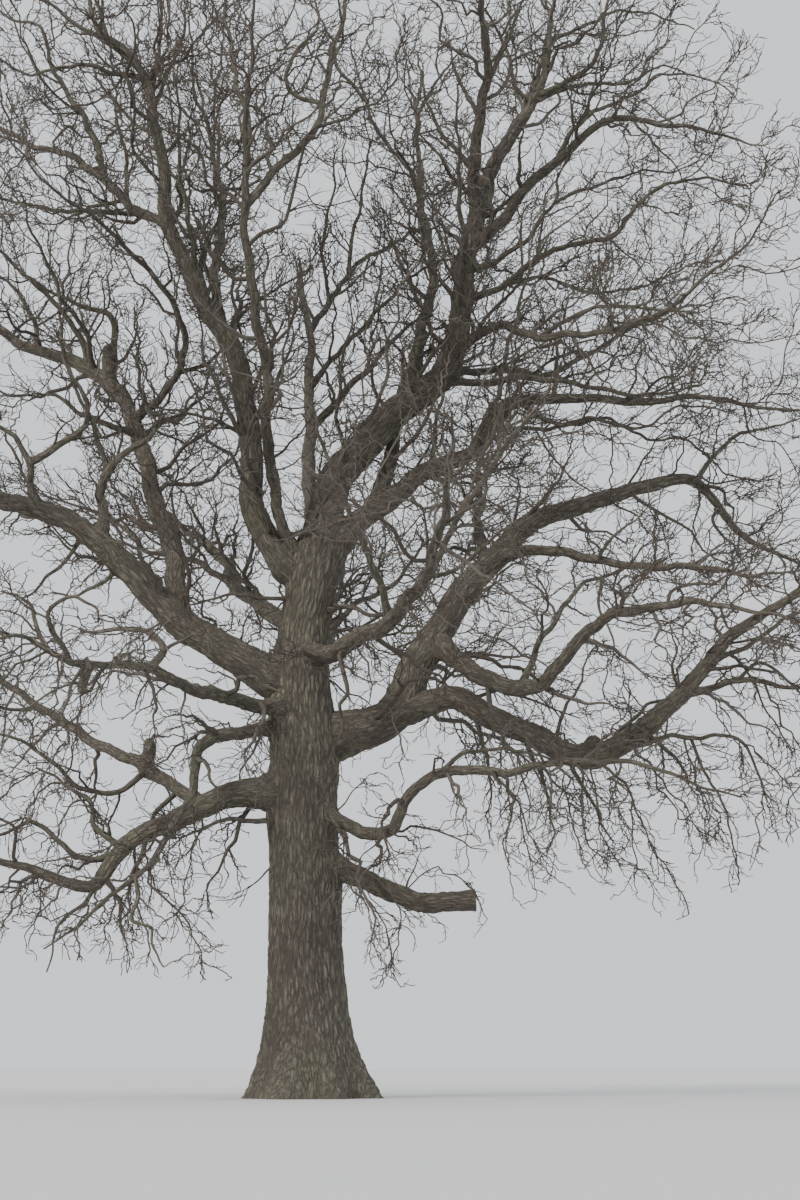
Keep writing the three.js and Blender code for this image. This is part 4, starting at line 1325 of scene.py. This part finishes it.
@dataclass(frozen=True)
class BarkFinish:
    """Furrowed bark: dark furrows, grey-brown plates with a painted highlight on their raised
    flakes, a green film and spots of grey lichen.
    """

    name: str = "oak_bark"
    furrow: Colour = rgb(0.045, 0.037, 0.029)
    plate: Colour = rgb(0.17, 0.147, 0.118)
    # pale is the colour of the painted highlight on the raised flakes of the plates
    pale: Colour = rgb(0.27, 0.25, 0.21)
    film: Colour = rgb(0.14, 0.152, 0.085)
    lichen: Colour = rgb(0.25, 0.26, 0.22)
    crack: tuple[float, float, float] = (0.05, 0.05, 0.34)
    warps: tuple[tuple[float, float], ...] = ((5.0, 0.07), (24.0, 0.018))
    painted_highlight_share: float = 0.45
    dark_share: float = 0.35
    film_share: float = 0.5
    lichen_share: float = 0.3
    flake_stretch: float = 0.3
    crumb_stretch: float = 0.55
    ridge_height: tuple[float, float] = (0.35, 0.65)
    plate_height: tuple[float, float] = (0.3, 0.7)
    crumb_height: tuple[float, float] = (0.6, 0.8)
    rough: tuple[float, float] = (0.97, -0.12)
    relief_shares: tuple[float, float, float] = (0.5, 0.45, 0.2)
    relief: float = 0.02

    def material(self) -> bpy.types.Material:
        """The bark as a material that reads the skin's own grain."""
        pen = Surface(self.name)
        grain, plate, place = pen.read("grain", "Vector"), pen.read("plate", "Fac"), pen.place()
        cell = pen.vector("DIVIDE", pen.warped(grain, *self.warps), self.crack)
        ridge = pen.eased(pen.cracks(cell), low=0.0, high=0.2)
        flakes = pen.noise(pen.stretched(grain, self.flake_stretch), scale=38.0, detail=5.0,
                           rough=0.68)
        crumbs = pen.noise(pen.stretched(grain, self.crumb_stretch), scale=130.0, rough=0.6)
        broad = pen.eased(pen.noise(place, scale=0.55), low=0.4, high=0.66)
        tone = pen.eased(pen.noise(place, scale=2.6, detail=4.0), low=0.35, high=0.7)
        spots = pen.eased(pen.noise(place, scale=7.0, rough=0.6), low=0.56, high=0.66)
        height = rising(self.ridge_height, ridge) * rising(self.plate_height, plate)
        height = height * rising(self.crumb_height, crumbs)
        # Painted highlight: the raised, flaky parts of the plates are mixed towards the pale colour
        painted_highlight = height * pen.eased(flakes, low=0.42, high=0.7)
        body = pen.mix(height, self.furrow, self.plate)
        body = pen.mix(painted_highlight * self.painted_highlight_share, body, self.pale)
        body = pen.mix(tone * self.dark_share, body, self.furrow)
        body = pen.mix(broad * height * self.film_share, body, self.film)
        body = pen.mix(spots * height * self.lichen_share, body, self.lichen)
        deep, scaly, gritty = self.relief_shares
        relief = ridge * deep + flakes * scaly + crumbs * gritty
        return pen.finished(body, rising(self.rough, height), relief, self.relief)


@dataclass(frozen=True)
class DeadFinish:
    """Bare weathered wood, split along its grain and stained."""

    name: str = "dead_wood"
    dark: Colour = rgb(0.07, 0.058, 0.045)
    grey: Colour = rgb(0.245, 0.222, 0.185)
    stained: Colour = rgb(0.12, 0.105, 0.085)
    stain_share: float = 0.5
    stretch: float = 0.06
    rough: float = 0.9
    relief: float = 0.012

    def material(self) -> bpy.types.Material:
        """The dead wood as a material that reads the skin's own grain."""
        pen = Surface(self.name)
        grain = pen.read("grain", "Vector")
        split = pen.noise(pen.stretched(grain, self.stretch), scale=90.0, detail=4.0, rough=0.65)
        stain = pen.eased(pen.noise(grain, scale=3.0), low=0.35, high=0.65)
        body = pen.mix(pen.eased(split, low=0.3, high=0.62), self.dark, self.grey)
        body = pen.mix(stain * self.stain_share, body, self.stained)
        return pen.finished(body, self.rough, split, self.relief)


@dataclass(frozen=True)
class SawnFinish:
    """An old saw cut: rings round the heart, dark checks out from it and a grey weathered face."""

    name: str = "sawn_end"
    ring_width: float = 0.011
    wobble: float = 0.03
    dark: Colour = rgb(0.07, 0.055, 0.04)
    pale: Colour = rgb(0.2, 0.16, 0.115)
    check: Colour = rgb(0.025, 0.02, 0.016)
    ring_share: float = 0.45
    rough: float = 0.88
    ring_relief: float = 0.4
    relief: float = 0.006
    relief_strength: float = 0.7

    def material(self) -> bpy.types.Material:
        """The saw cut as a material that reads the distance from the heart."""
        pen = Surface(self.name)
        grain = pen.read("grain", "Vector")
        flat = pen.stretched(grain, 0.0)
        wobble = pen.noise(grain, scale=9.0, detail=2.0) * self.wobble
        out = pen.vector("LENGTH", flat, out="Value") + wobble
        rings = pen.math("SINE", out * (2 * math.pi / self.ring_width)) * 0.5 + 0.5
        checks = pen.noise(pen.vector("NORMALIZE", flat), scale=7.0, detail=2.0)
        checks = pen.eased(checks, low=0.56, high=0.62)
        body = pen.mix(rings * self.ring_share, self.pale, self.dark)
        body = pen.mix(checks, body, self.check)
        relief = rings * self.ring_relief - checks
        return pen.finished(body, self.rough, relief, self.relief, self.relief_strength)


@dataclass(frozen=True)
class TwigFinish:
    """One of the twigs' plain colours, a little mottled, which are dealt out by spray."""

    name: str
    base: Colour
    mottle: Colour
    rough: float = 0.8

    def material(self) -> bpy.types.Material:
        """The twigs' colour as a material."""
        pen = Surface(self.name)
        patch = pen.eased(pen.noise(pen.place(), scale=9.0, detail=2.0), low=0.4, high=0.65)
        return pen.finished(pen.mix(patch, self.base, self.mottle), self.rough)


@dataclass(frozen=True)
class Finishes:
    """Every finish of the tree as a material."""

    bark: bpy.types.Material
    dead: bpy.types.Material
    sawn: bpy.types.Material
    twigs: tuple[bpy.types.Material, ...]

    @staticmethod
    def made() -> Finishes:
        """Makes all the materials."""
        tones = (
            TwigFinish("twig_brown", rgb(0.088, 0.07, 0.054), rgb(0.07, 0.056, 0.044)),
            TwigFinish("twig_grey", rgb(0.115, 0.1, 0.082), rgb(0.088, 0.077, 0.062)),
            TwigFinish("twig_dark", rgb(0.062, 0.05, 0.04), rgb(0.08, 0.072, 0.052)),
        )
        return Finishes(BarkFinish().material(), DeadFinish().material(), SawnFinish().material(),
                        tuple(tone.material() for tone in tones))


# Meshes
def mesh_of(name: str, vertices: np.ndarray, quads: np.ndarray, triangles: np.ndarray,
            attributes: dict[str, np.ndarray]) -> bpy.types.Mesh:
    """A mesh from arrays, with attributes on its points.

    Args:
        name: The mesh's name.
        vertices: Points, one a row.
        quads: Four corners a row.
        triangles: Three corners a row.
        attributes: Values for each point by name; three a row make a vector.

    Returns:
        The mesh.
    """
    mesh = bpy.data.meshes.new(name)
    mesh.vertices.add(len(vertices))
    mesh.vertices.foreach_set("co", vertices.astype(np.float32).ravel())
    corners = np.concatenate([quads.ravel(), triangles.ravel()]).astype(np.int32)
    starts = np.append(np.arange(len(quads)) * 4, 4 * len(quads) + np.arange(len(triangles)) * 3)
    mesh.loops.add(len(corners))
    mesh.loops.foreach_set("vertex_index", corners)
    mesh.polygons.add(len(starts))
    mesh.polygons.foreach_set("loop_start", starts.astype(np.int32))
    mesh.update(calc_edges=True)
    set_attributes(mesh, attributes)
    return mesh


def set_attributes(mesh: bpy.types.Mesh, attributes: dict[str, np.ndarray]) -> None:
    """Writes point attributes to a mesh.

    Args:
        mesh: The mesh.
        attributes: Values for each point by name: numbers, whole numbers or vectors.
    """
    for name, values in attributes.items():
        if values.ndim == 2:
            kind, key, number = "FLOAT_VECTOR", "vector", np.float32
        elif values.dtype.kind == "i":
            kind, key, number = "INT", "value", np.int32
        else:
            kind, key, number = "FLOAT", "value", np.float32
        made = mesh.attributes.new(name, kind, "POINT")
        made.data.foreach_set(key, values.astype(number).ravel())


def path_mesh(name: str, paths: Paths) -> bpy.types.Mesh:
    """A mesh of loose edges that follow a batch of paths, with radius and tone on its points."""
    n, m = paths.points.shape[:2]
    mesh = bpy.data.meshes.new(name)
    mesh.vertices.add(n * m)
    mesh.vertices.foreach_set("co", paths.points.astype(np.float32).ravel())
    first = (np.arange(n)[:, None] * m + np.arange(m - 1)[None]).ravel()
    edges = np.stack([first, first + 1], axis=1).astype(np.int32)
    mesh.edges.add(len(edges))
    mesh.edges.foreach_set("vertices", edges.ravel())
    mesh.update()
    tone = np.repeat(paths.tone, m).astype(int)
    set_attributes(mesh, {"thick": paths.radii.ravel(), "tone": tone})
    return mesh


def triangles_of(made: bpy.types.Object) -> int:
    """How many triangles an object's mesh comes to."""
    sizes = np.zeros(len(made.data.polygons), np.int32)
    made.data.polygons.foreach_get("loop_total", sizes)
    return int((sizes - 2).sum())


def joined(name: str, objects: Sequence[bpy.types.Object]) -> bpy.types.Object:
    """Several objects joined into one of a new name."""
    chosen = list(objects)
    with bpy.context.temp_override(active_object=chosen[0], object=chosen[0],
                                   selected_editable_objects=chosen, selected_objects=chosen):
        bpy.ops.object.join()
    chosen[0].name = name
    chosen[0].data.name = name
    return chosen[0]


def settled(made: bpy.types.Object, slot: Slot, nodes: Sequence[str]) -> None:
    """Makes a finished piece part of the tree's one body.

    Args:
        made: The piece.
        slot: The record's slot; not used.
        nodes: The solids that it stands for.
    """
    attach(made, "root")
    if nodes:
        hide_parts(*nodes)
    LOG.info("%s: %d triangles, %d solids replaced", made.name, triangles_of(made), len(nodes))


# Skins
@dataclass(frozen=True)
class Swelling:
    """Wood raised round the place where a limb leaves, on the limb or trunk that bears it."""

    centre: np.ndarray
    radius: float
    rise: float = 0.32
    reach: float = 1.35
    further_down: float = 0.5

    def height(self, points: np.ndarray) -> np.ndarray:
        """How far each point of a skin is raised; the swelling reaches further down than up."""
        rel = points - self.centre
        fall = np.where(rel[:, 2] < 0, self.further_down, 1.0)
        gap = np.sqrt(rel[:, 0] ** 2 + rel[:, 1] ** 2 + (rel[:, 2] * fall) ** 2)
        return self.rise * self.radius * np.exp(-((gap / (self.reach * self.radius)) ** 2))


def swellings(skeleton: Skeleton, name: str) -> list[Swelling]:
    """The swellings on one limb or the trunk, one for each limb that leaves it."""
    return [Swelling(skeleton.curves[limb.name].point(skeleton.roots[limb.name])[0], limb.thick[0])
            for limb in EVERY_LIMB if limb.on == name]


def ring_faces(rows: int, columns: int) -> tuple[np.ndarray, np.ndarray]:
    """The faces of a skin of rings, closed at each end on a middle point after the last ring.

    Args:
        rows: How many rings there are.
        columns: How many points each has.

    Returns:
        The quads, and the triangles of both ends.
    """
    grids = np.meshgrid(np.arange(rows - 1), np.arange(columns), indexing="ij")
    r, c = (grid.ravel() for grid in grids)
    beside = (c + 1) % columns
    quads = np.stack([r * columns + c, r * columns + beside, (r + 1) * columns + beside,
                      (r + 1) * columns + c], axis=1)
    ring = np.arange(columns)
    turn = (ring + 1) % columns
    foot, top = rows * columns, rows * columns + 1
    last = (rows - 1) * columns
    low = np.stack([np.full(columns, foot), turn, ring], axis=1)
    high = np.stack([np.full(columns, top), last + ring, last + turn], axis=1)
    return quads, np.vstack([low, high])


def carried(tangents: np.ndarray) -> np.ndarray:
    """A side direction at each point of a path, carried along it so that it doesn't twist."""
    sides = np.zeros_like(tangents)
    sides[0] = square_to(tangents[:1])[0][0]
    for i in range(1, len(tangents)):
        moved = sides[i - 1] - tangents[i] * np.dot(sides[i - 1], tangents[i])
        sides[i] = moved / np.linalg.norm(moved)
    return sides


@dataclass
class TrunkSkin:
    """The trunk's skin: buttressed foot, leaning stem, swellings and a rounded fork."""

    skeleton: Skeleton
    finishes: Finishes
    columns: int = 240
    low_row: float = 0.021
    high_row: float = 0.036
    change: float = 4.0
    profile_steps: int = 400
    profile_window: int = 31
    top_round: float = 0.4
    top_least: float = 0.004
    furrow: float = 0.03
    furrow_high: float = 0.75
    furrow_fade: tuple[float, float] = (3.0, 0.5)
    lump: float = 0.1
    lump_foot: float = 0.4
    lump_fade: tuple[float, float] = (0.0, 0.05)
    plate_width: float = 0.085
    plate_length: float = 0.5
    lump_size: float = 0.75

    def rows(self) -> np.ndarray:
        """The heights of the skin's rings, closer together low down."""
        low = np.arange(0, self.change, self.low_row)
        count = int((TRUNK_HEIGHT - self.change) / self.high_row)
        return np.concatenate([low, np.linspace(self.change, TRUNK_HEIGHT, count)])

    def radius(self, z: np.ndarray, turn: np.ndarray) -> np.ndarray:
        """The trunk's radius at heights and bearings."""
        fine = np.linspace(0, TRUNK_HEIGHT, self.profile_steps)
        table = np.pad(np.interp(fine, *zip(*TRUNK_PROFILE)), self.profile_window // 2,
                       mode="reflect", reflect_type="odd")
        window = np.hanning(self.profile_window)
        eased = np.convolve(table, window / window.sum(), "valid")
        lobes = sum(share * np.cos(count * turn + phase) for count, share, phase in BUTTRESSES)
        flutes = sum(deep * np.cos(count * turn + twist * z + phase)
                     for deep, count, twist, phase in FLUTES)
        shape = 1 + FLARE_DEPTH * np.exp(-z / FLARE_HEIGHT) * lobes + flutes
        over = np.clip((z - (TRUNK_HEIGHT - self.top_round)) / self.top_round, 0, 1)
        top = np.sqrt(np.maximum(1 - over ** 2, self.top_least))
        return np.interp(z, fine, eased) * shape * top

    def build(self, tree: BarkTree) -> bpy.types.Object:
        """The trunk's piece.

        Args:
            tree: The relief that is laid over the skin.

        Returns:
            The piece, not yet settled.
        """
        rows = self.rows()
        turns = np.linspace(0, 2 * math.pi, self.columns, endpoint=False)
        z, turn = (grid.ravel() for grid in np.meshgrid(rows, turns, indexing="ij"))
        out = np.stack([np.cos(turn), np.sin(turn), np.zeros_like(turn)], axis=1)
        plain = self.radius(z, turn)
        points = np.stack([trunk_axis(z), np.zeros_like(z), z], axis=1) + out * plain[:, None]
        for swelling in swellings(self.skeleton, "trunk"):
            points = points + out * swelling.height(points)[:, None]
        grain = np.stack([plain * np.cos(turn), plain * np.sin(turn), z], axis=1)
        high, foot = self.furrow_high, self.lump_foot
        furrow = self.furrow * (high + (1 - high) * smooth(*self.furrow_fade, z))
        lump = self.lump * (foot + (1 - foot) * smooth(*self.lump_fade, z))
        middles = [[FOOT_AXIS_X, 0, 0], [float(trunk_axis(TRUNK_HEIGHT)), 0, TRUNK_HEIGHT]]
        mesh = mesh_of("trunk_skin", np.vstack([points, middles]),
                       *ring_faces(len(rows), self.columns), {
            "out": np.vstack([out, np.zeros((2, 3))]),
            "grain": np.vstack([grain, [[0, 0, 0], [0, 0, TRUNK_HEIGHT]]]),
            "furrow": np.append(furrow, [0, 0]),
            "lump": np.append(lump, [0, 0]),
            "tone": np.zeros(len(points) + 2, int),
        })
        return tree.laid_over("trunk_bark", mesh, {
            "Plate width": self.plate_width, "Plate length": self.plate_length,
            "Lump size": self.lump_size, "Material": self.finishes.bark,
            "Material two": self.finishes.bark})


class Ending(Enum):
    """How a limb's skin ends."""

    JOINS = "joins"
    SAWN = "sawn"
    BROKEN = "broken"
    ROUNDED = "rounded"


class Part(Enum):
    """Which part of a limb is taken."""

    BARE = "bare"
    FAR = "far"
    WHOLE = "whole"

    def span(self, limb: Limb) -> tuple[float, float]:
        """Where the part starts and ends, as shares of the limb's length."""
        return {Part.BARE: (0.0, limb.bare), Part.FAR: (limb.bare, 1.0)}.get(self, (0.0, 1.0))


@dataclass
class LimbSkin:
    """The skin of one limb, made in rings along it.

    row and column are the distances between rings and between their points. The sizes of plates
    and lumps are a least size and a share of the limb's root radius.
    """

    limb: Limb
    skeleton: Skeleton
    finishes: Finishes
    ending: Ending = Ending.JOINS
    row: float = 0.045
    column: float = 0.034
    swell: float = 0.42
    most_columns: int = 72
    least_rows: int = 8
    axis_steps: int = 400
    oval: float = 0.06
    furrow_most: float = 0.026
    furrow_share: float = 0.13
    lump_share: float = 0.22
    plate_width: tuple[float, float] = (0.03, 0.14)
    plate_length: tuple[float, float] = (0.2, 0.5)
    lump_size: tuple[float, float] = (0.12, 1.2)

    LEAST_HALF = 5
    TANGENT_SHARE, TANGENT_LEAST = 0.5, 0.02
    LIP, LIP_REACH, SAWN_DIP = 0.14, 0.16, 0.02
    ROUND_REACH, ROUND_LEAST = 1.1, 0.01
    BREAK_REACH, BREAK_DEPTH, BREAK_MIDDLE, BREAK_THINNING = 0.45, 0.42, 0.6, 0.5

    def columns(self) -> int:
        """How many points each ring of the bare part has, an even number."""
        half = math.pi * self.limb.thick[0] / self.column
        return 2 * int(np.clip(half, self.LEAST_HALF, self.most_columns // 2))

    def frames(self, u: np.ndarray) -> tuple[np.ndarray, np.ndarray, np.ndarray, np.ndarray]:
        """The limb's axis and its directions at shares u of it.

        Args:
            u: Shares of the limb's length.

        Returns:
            The axis's points and tangents, and two directions square to them that don't twist.
        """
        limb, wandering = self.limb, self.skeleton.wandering
        fine = np.linspace(0, 1, self.axis_steps)
        steady = carried(unit(np.gradient(wandering(limb, fine), axis=0)))
        step = self.TANGENT_SHARE * self.skeleton.radius(limb.name, u)
        step = np.maximum(step, self.TANGENT_LEAST) / limb.length
        low, high = np.maximum(u - step, 0), np.minimum(u + step, 1)
        tangents = unit(wandering(limb, high) - wandering(limb, low))
        sides = np.stack([np.interp(u, fine, steady[:, axis]) for axis in range(3)], axis=1)
        sides = unit(sides - tangents * np.sum(sides * tangents, axis=1, keepdims=True))
        return wandering(limb, u), tangents, sides, np.cross(tangents, sides)

    def thickness(self, u: np.ndarray) -> np.ndarray:
        """The skin's radius at shares u of the limb, with its root's flare and its ending."""
        limb = self.limb
        thick = self.skeleton.radius(limb.name, u) * self.skeleton.flare(limb.name, u, self.swell)
        to_end = (1 - u) * limb.length
        if self.ending is Ending.SAWN:
            thick = thick * (1 + self.LIP * np.exp(-((to_end / self.LIP_REACH) ** 2)))
        if self.ending is Ending.ROUNDED:
            last = np.clip(1 - to_end / (self.ROUND_REACH * limb.thick[1]), 0, 1)
            thick = thick * np.sqrt(np.maximum(1 - last ** 2, self.ROUND_LEAST))
        return thick

    def splintered(self, points: np.ndarray, out: np.ndarray, tangents: np.ndarray,
                   along: np.ndarray, wide: np.ndarray, columns: int) -> np.ndarray:
        """The skin's points with the last of them drawn out into uneven, thinner splinters.

        Args:
            points: The skin's points, ring by ring.
            out: The way outwards at each point.
            tangents: The axis's tangent at each ring.
            along: Each point's distance along the limb.
            wide: The radius at each point.
            columns: How many points each ring has.

        Returns:
            The moved points.
        """
        rows = len(tangents)
        jag = np.repeat(chance(np.arange((columns + 1) // 2), JAG_DRAW), 2)[:columns]
        jag = np.tile(jag, rows)
        near = smooth(self.BREAK_REACH, 0.0, self.limb.length - along)
        longer = (jag - self.BREAK_MIDDLE) * self.BREAK_DEPTH * near
        points = points + np.repeat(tangents, columns, axis=0) * longer[:, None]
        return points - out * (self.BREAK_THINNING * jag * near * wide)[:, None]

    def build(self, tree: BarkTree, name: str, part: Part, columns: int) -> bpy.types.Object:
        """One part of the limb.

        Args:
            tree: The relief that is laid over the skin.
            name: The object's name.
            part: Which part of the limb it covers.
            columns: How many points each ring has.

        Returns:
            The object, not yet settled.
        """
        limb, (start, end) = self.limb, part.span(self.limb)
        rows = max(int(limb.length * (end - start) / self.row), self.least_rows)
        u = np.linspace(start, end, rows)
        centres, tangents, sides, others = self.frames(u)
        thick = self.thickness(u)
        turns = np.linspace(0, 2 * math.pi, columns, endpoint=False)
        across, up = np.cos(turns), np.sin(turns)
        out = sides[:, None] * across[None, :, None] + others[:, None] * up[None, :, None]
        oval = 1 + self.oval * np.cos(2 * turns + 4 * chance(OVAL_DRAW, hash_of(limb.name)))
        points = centres[:, None] + out * (thick[:, None] * oval[None])[..., None]
        points, out = points.reshape(-1, 3), out.reshape(-1, 3)
        for swelling in swellings(self.skeleton, limb.name):
            points = points + out * swelling.height(points)[:, None]
        along, wide = np.repeat(u * limb.length, columns), np.repeat(thick, columns)
        if self.ending is Ending.BROKEN:
            points = self.splintered(points, out, tangents, along, wide, columns)
        grain = np.stack([wide * np.tile(across, rows), wide * np.tile(up, rows), along], axis=1)
        sawn = self.ending is Ending.SAWN
        tip = centres[-1] - tangents[-1] * (self.SAWN_DIP if sawn else 0.0)
        tone = np.zeros(len(points) + 2, int)
        tone[-1] = int(sawn)
        ends = [[0, 0, start * limb.length], [0, 0, end * limb.length]]
        mesh = mesh_of(name, np.vstack([points, [centres[0], tip]]), *ring_faces(rows, columns), {
            "out": np.vstack([out, np.zeros((2, 3))]),
            "grain": np.vstack([grain, ends]),
            "furrow": np.append(np.minimum(self.furrow_most, self.furrow_share * wide), [0, 0]),
            "lump": np.append(self.lump_share * wide, [0, 0]),
            "tone": tone,
        })
        broken = self.ending is Ending.BROKEN
        sizes = {"Plate width": self.plate_width, "Plate length": self.plate_length,
                 "Lump size": self.lump_size}
        return tree.laid_over(name, mesh, {
            **{key: least + share * limb.thick[0] for key, (least, share) in sizes.items()},
            "Material": self.finishes.dead if broken else self.finishes.bark,
            "Material two": self.finishes.sawn})


@dataclass
class Crown:
    """All that grows on from the boughs: their far parts, the side limbs and the twigs."""

    skeleton: Skeleton
    finishes: Finishes
    tubes: TubeTree
    relief: BarkTree
    steps: int = 25

    SIDES_AND_CUTS = {"large": (5, 2), "medium": (3, 1), "shoots": (3, 1), "spurs": (3, 1)}
    FAR_ROW, PEG_ROW, SIDE_COLUMN = 0.06, 0.03, 0.045

    def batch(self, limbs: Sequence[Limb], part: Part) -> Paths:
        """Parts of limbs as one batch of paths.

        Args:
            limbs: The limbs.
            part: Which part of each is taken.

        Returns:
            The paths, with the limb's number as their key.
        """
        order = [limb.name for limb in EVERY_LIMB]
        owners = [limb.name for limb in LIMBS if limb.bare < 1]
        points, radii, keys, sectors, owner = [], [], [], [], []
        for limb in limbs:
            u = np.linspace(*part.span(limb), self.steps)
            points.append(self.skeleton.wandering(limb, u))
            radii.append(self.skeleton.radius(limb.name, u))
            keys.append(order.index(limb.name) + 1)
            sectors.append(list(Sector).index(self.skeleton.sectors[limb.name]))
            owner.append(owners.index(limb.name) if limb.name in owners else -1)
        return Paths(np.array(points), np.array(radii), (np.array(keys),), np.array(sectors),
                     np.zeros(len(points), int), np.array(owner))

    def grown(self) -> dict[str, Paths]:
        """Every order of twigs, grown in turn.

        Returns:
            The twigs by how they are made into tubes.
        """
        bearing_limbs = [limb for limb in LIMBS if limb.bare < 1]
        stems, boughs = self.batch(bearing_limbs, Part.FAR), self.batch(bearing_limbs, Part.BARE)
        sides = self.batch([limb for limb in SIDES if limb.twiggy], Part.WHOLE)
        grower = Twigs(Room(self.skeleton))
        for batch in (stems, boughs, sides):
            grower.shade.cast(batch)

        def order(rule: Rule, *bearers: Paths) -> list[Paths]:
            """One order of twigs on each of several batches, with one key for each twig."""
            return [grower.grown(batch, rule).sealed() for batch in bearers]

        first = grower.grown(stems, FIRST)
        second = grower.grown(first, SECOND)
        forks = [grower.grown(batch, FORKS) for batch in (boughs, sides)]
        large = Paths.joined([first.sealed(), *forks])
        sprays = order(SPRAYS, large, sides, stems) + order(ON_BOUGHS, boughs)
        tips = order(TIPS, stems.sealed(), sides.sealed(), large)
        medium = Paths.joined([second.sealed(), *sprays, *tips])
        shoots = Paths.joined(order(SHOOTS, large, medium))
        spurs = grower.grown(shoots, SPURS)
        return {"large": large, "medium": medium, "shoots": shoots, "spurs": spurs}

    def limbs_of(self, sector: Sector) -> bpy.types.Object:
        """One sector's far parts of boughs and its side limbs as one piece."""
        parts = []
        for limb in LIMBS:
            if limb.sector is sector:
                skin = LimbSkin(limb, self.skeleton, self.finishes, row=self.FAR_ROW)
                columns = skin.columns() // 2
                parts.append(skin.build(self.relief, limb.name + "_far", Part.FAR, columns))
        for limb in SIDES:
            if self.skeleton.sectors[limb.name] is sector:
                ending = Ending.JOINS if limb.twiggy else Ending.ROUNDED
                row = self.FAR_ROW if limb.twiggy else self.PEG_ROW
                skin = LimbSkin(limb, self.skeleton, self.finishes, ending, row, self.SIDE_COLUMN)
                parts.append(skin.build(self.relief, limb.name, Part.WHOLE, skin.columns()))
        return joined("limbs_of_" + sector.value, parts)

    def twigs_of(self, sector: Sector, twigs: dict[str, Paths]) -> bpy.types.Object:
        """One sector's twigs of every order as one piece."""
        parts = []
        brown, grey, dark = self.finishes.twigs
        for label, (count, cuts) in self.SIDES_AND_CUTS.items():
            mine = twigs[label].kept(twigs[label].sector == list(Sector).index(sector))
            parts.append(self.tubes.laid_over(f"{sector.value}_{label}", path_mesh(label, mine), {
                "Sides": count, "Cuts": cuts, "Material": brown, "Material two": grey,
                "Material three": dark}))
        return joined("twigs_of_" + sector.value, parts)

    def build(self) -> None:
        """Grows the twigs and settles each sector's limbs and twigs."""
        twigs = self.grown()
        LOG.info("twigs: %s", {label: len(paths) for label, paths in twigs.items()})
        for sector in Sector:
            settled(self.limbs_of(sector), Slot.BARK, [])
            nodes = ["twigs_" + limb.name.replace("bough_", "")
                     for limb in LIMBS if limb.sector is sector]
            settled(self.twigs_of(sector, twigs), Slot.TWIGS, nodes)


@dataclass(frozen=True)
class Sun:
    """One broad distant light that shines along a direction."""

    name: str
    way: tuple[float, float, float]
    strength: float
    softness: float
    tint: tuple[float, float, float]
    height: float = 40.0

    def build(self) -> None:
        """Adds the light to the scene."""
        light = bpy.data.lights.new(self.name, "SUN")
        light.energy = self.strength
        light.angle = math.radians(self.softness)
        light.color = self.tint
        lamp = bpy.data.objects.new(self.name, light)
        lamp.rotation_euler = Vector(self.way).to_track_quat("-Z", "Y").to_euler()
        lamp.location = (0, 0, self.height)
        bpy.context.scene.collection.objects.link(lamp)


@dataclass
class Studio:
    """A plain pale floor, soft light and the camera."""

    floor_size: float = 400.0
    floor_colour: Colour = rgb(0.62, 0.62, 0.61)
    sky_colour: Colour = rgb(0.86, 0.89, 0.94)
    sky_strength: float = 1.15
    suns: tuple[Sun, ...] = (
        Sun("key", (0.6, 0.7, -0.55), 2.6, 20.0, (1.0, 0.95, 0.88)),
        Sun("fill", (-0.7, 0.2, -0.4), 0.7, 60.0, (0.9, 0.95, 1.0)),
    )
    camera_place: tuple[float, float, float] = (1.71, -35.0, 0.57)
    pitch: float = 13.5
    lens: float = 58.08
    sensor: float = 36.0
    clip_end: float = 500.0

    def build(self) -> None:
        """Lays the floor, lights the scene and sets the camera."""
        self.floor()
        world = bpy.data.worlds.new("studio")
        world.use_nodes = True
        sky = world.node_tree.nodes["Background"]
        sky.inputs["Color"].default_value = self.sky_colour
        sky.inputs["Strength"].default_value = self.sky_strength
        bpy.context.scene.world = world
        for sun in self.suns:
            sun.build()
        self.camera()

    def floor(self) -> None:
        """The floor, as part of the stage."""
        half = self.floor_size / 2
        corners = [(-half, -half, 0), (half, -half, 0), (half, half, 0), (-half, half, 0)]
        mesh = bpy.data.meshes.new("floor")
        mesh.from_pydata(corners, [], [(0, 1, 2, 3)])
        mesh.materials.append(Surface("floor_paper").finished(self.floor_colour, 1.0))
        floor = bpy.data.objects.new("floor", mesh)
        bpy.context.scene.collection.objects.link(floor)

    def camera(self) -> None:
        """The camera at the picture's viewing angle."""
        lens = bpy.data.cameras.new("camera")
        lens.lens = self.lens
        lens.sensor_width = self.sensor
        lens.clip_end = self.clip_end
        eye = bpy.data.objects.new("camera", lens)
        eye.location = self.camera_place
        eye.rotation_euler = (math.radians(90 + self.pitch), 0.0, 0.0)
        bpy.context.scene.collection.objects.link(eye)
        bpy.context.scene.camera = eye


def main() -> None:
    """Builds the tree's sub-assemblies in order."""
    logging.basicConfig(level=logging.INFO, format="%(message)s")
    finishes = Finishes.made()
    skeleton = Skeleton()
    Studio().build()
    relief = BarkTree()
    settled(TrunkSkin(skeleton, finishes).build(relief), Slot.BARK, ["trunk"])
    endings = {Slot.SAWN: Ending.SAWN, Slot.DEAD: Ending.BROKEN}
    for limb in LIMBS:
        skin = LimbSkin(limb, skeleton, finishes, endings.get(limb.slot, Ending.JOINS))
        piece = skin.build(relief, limb.name + "_bark", Part.BARE, skin.columns())
        settled(piece, limb.slot, [limb.name])
    Crown(skeleton, finishes, TubeTree(), relief).build()


if __name__ == "__main__":
    main()
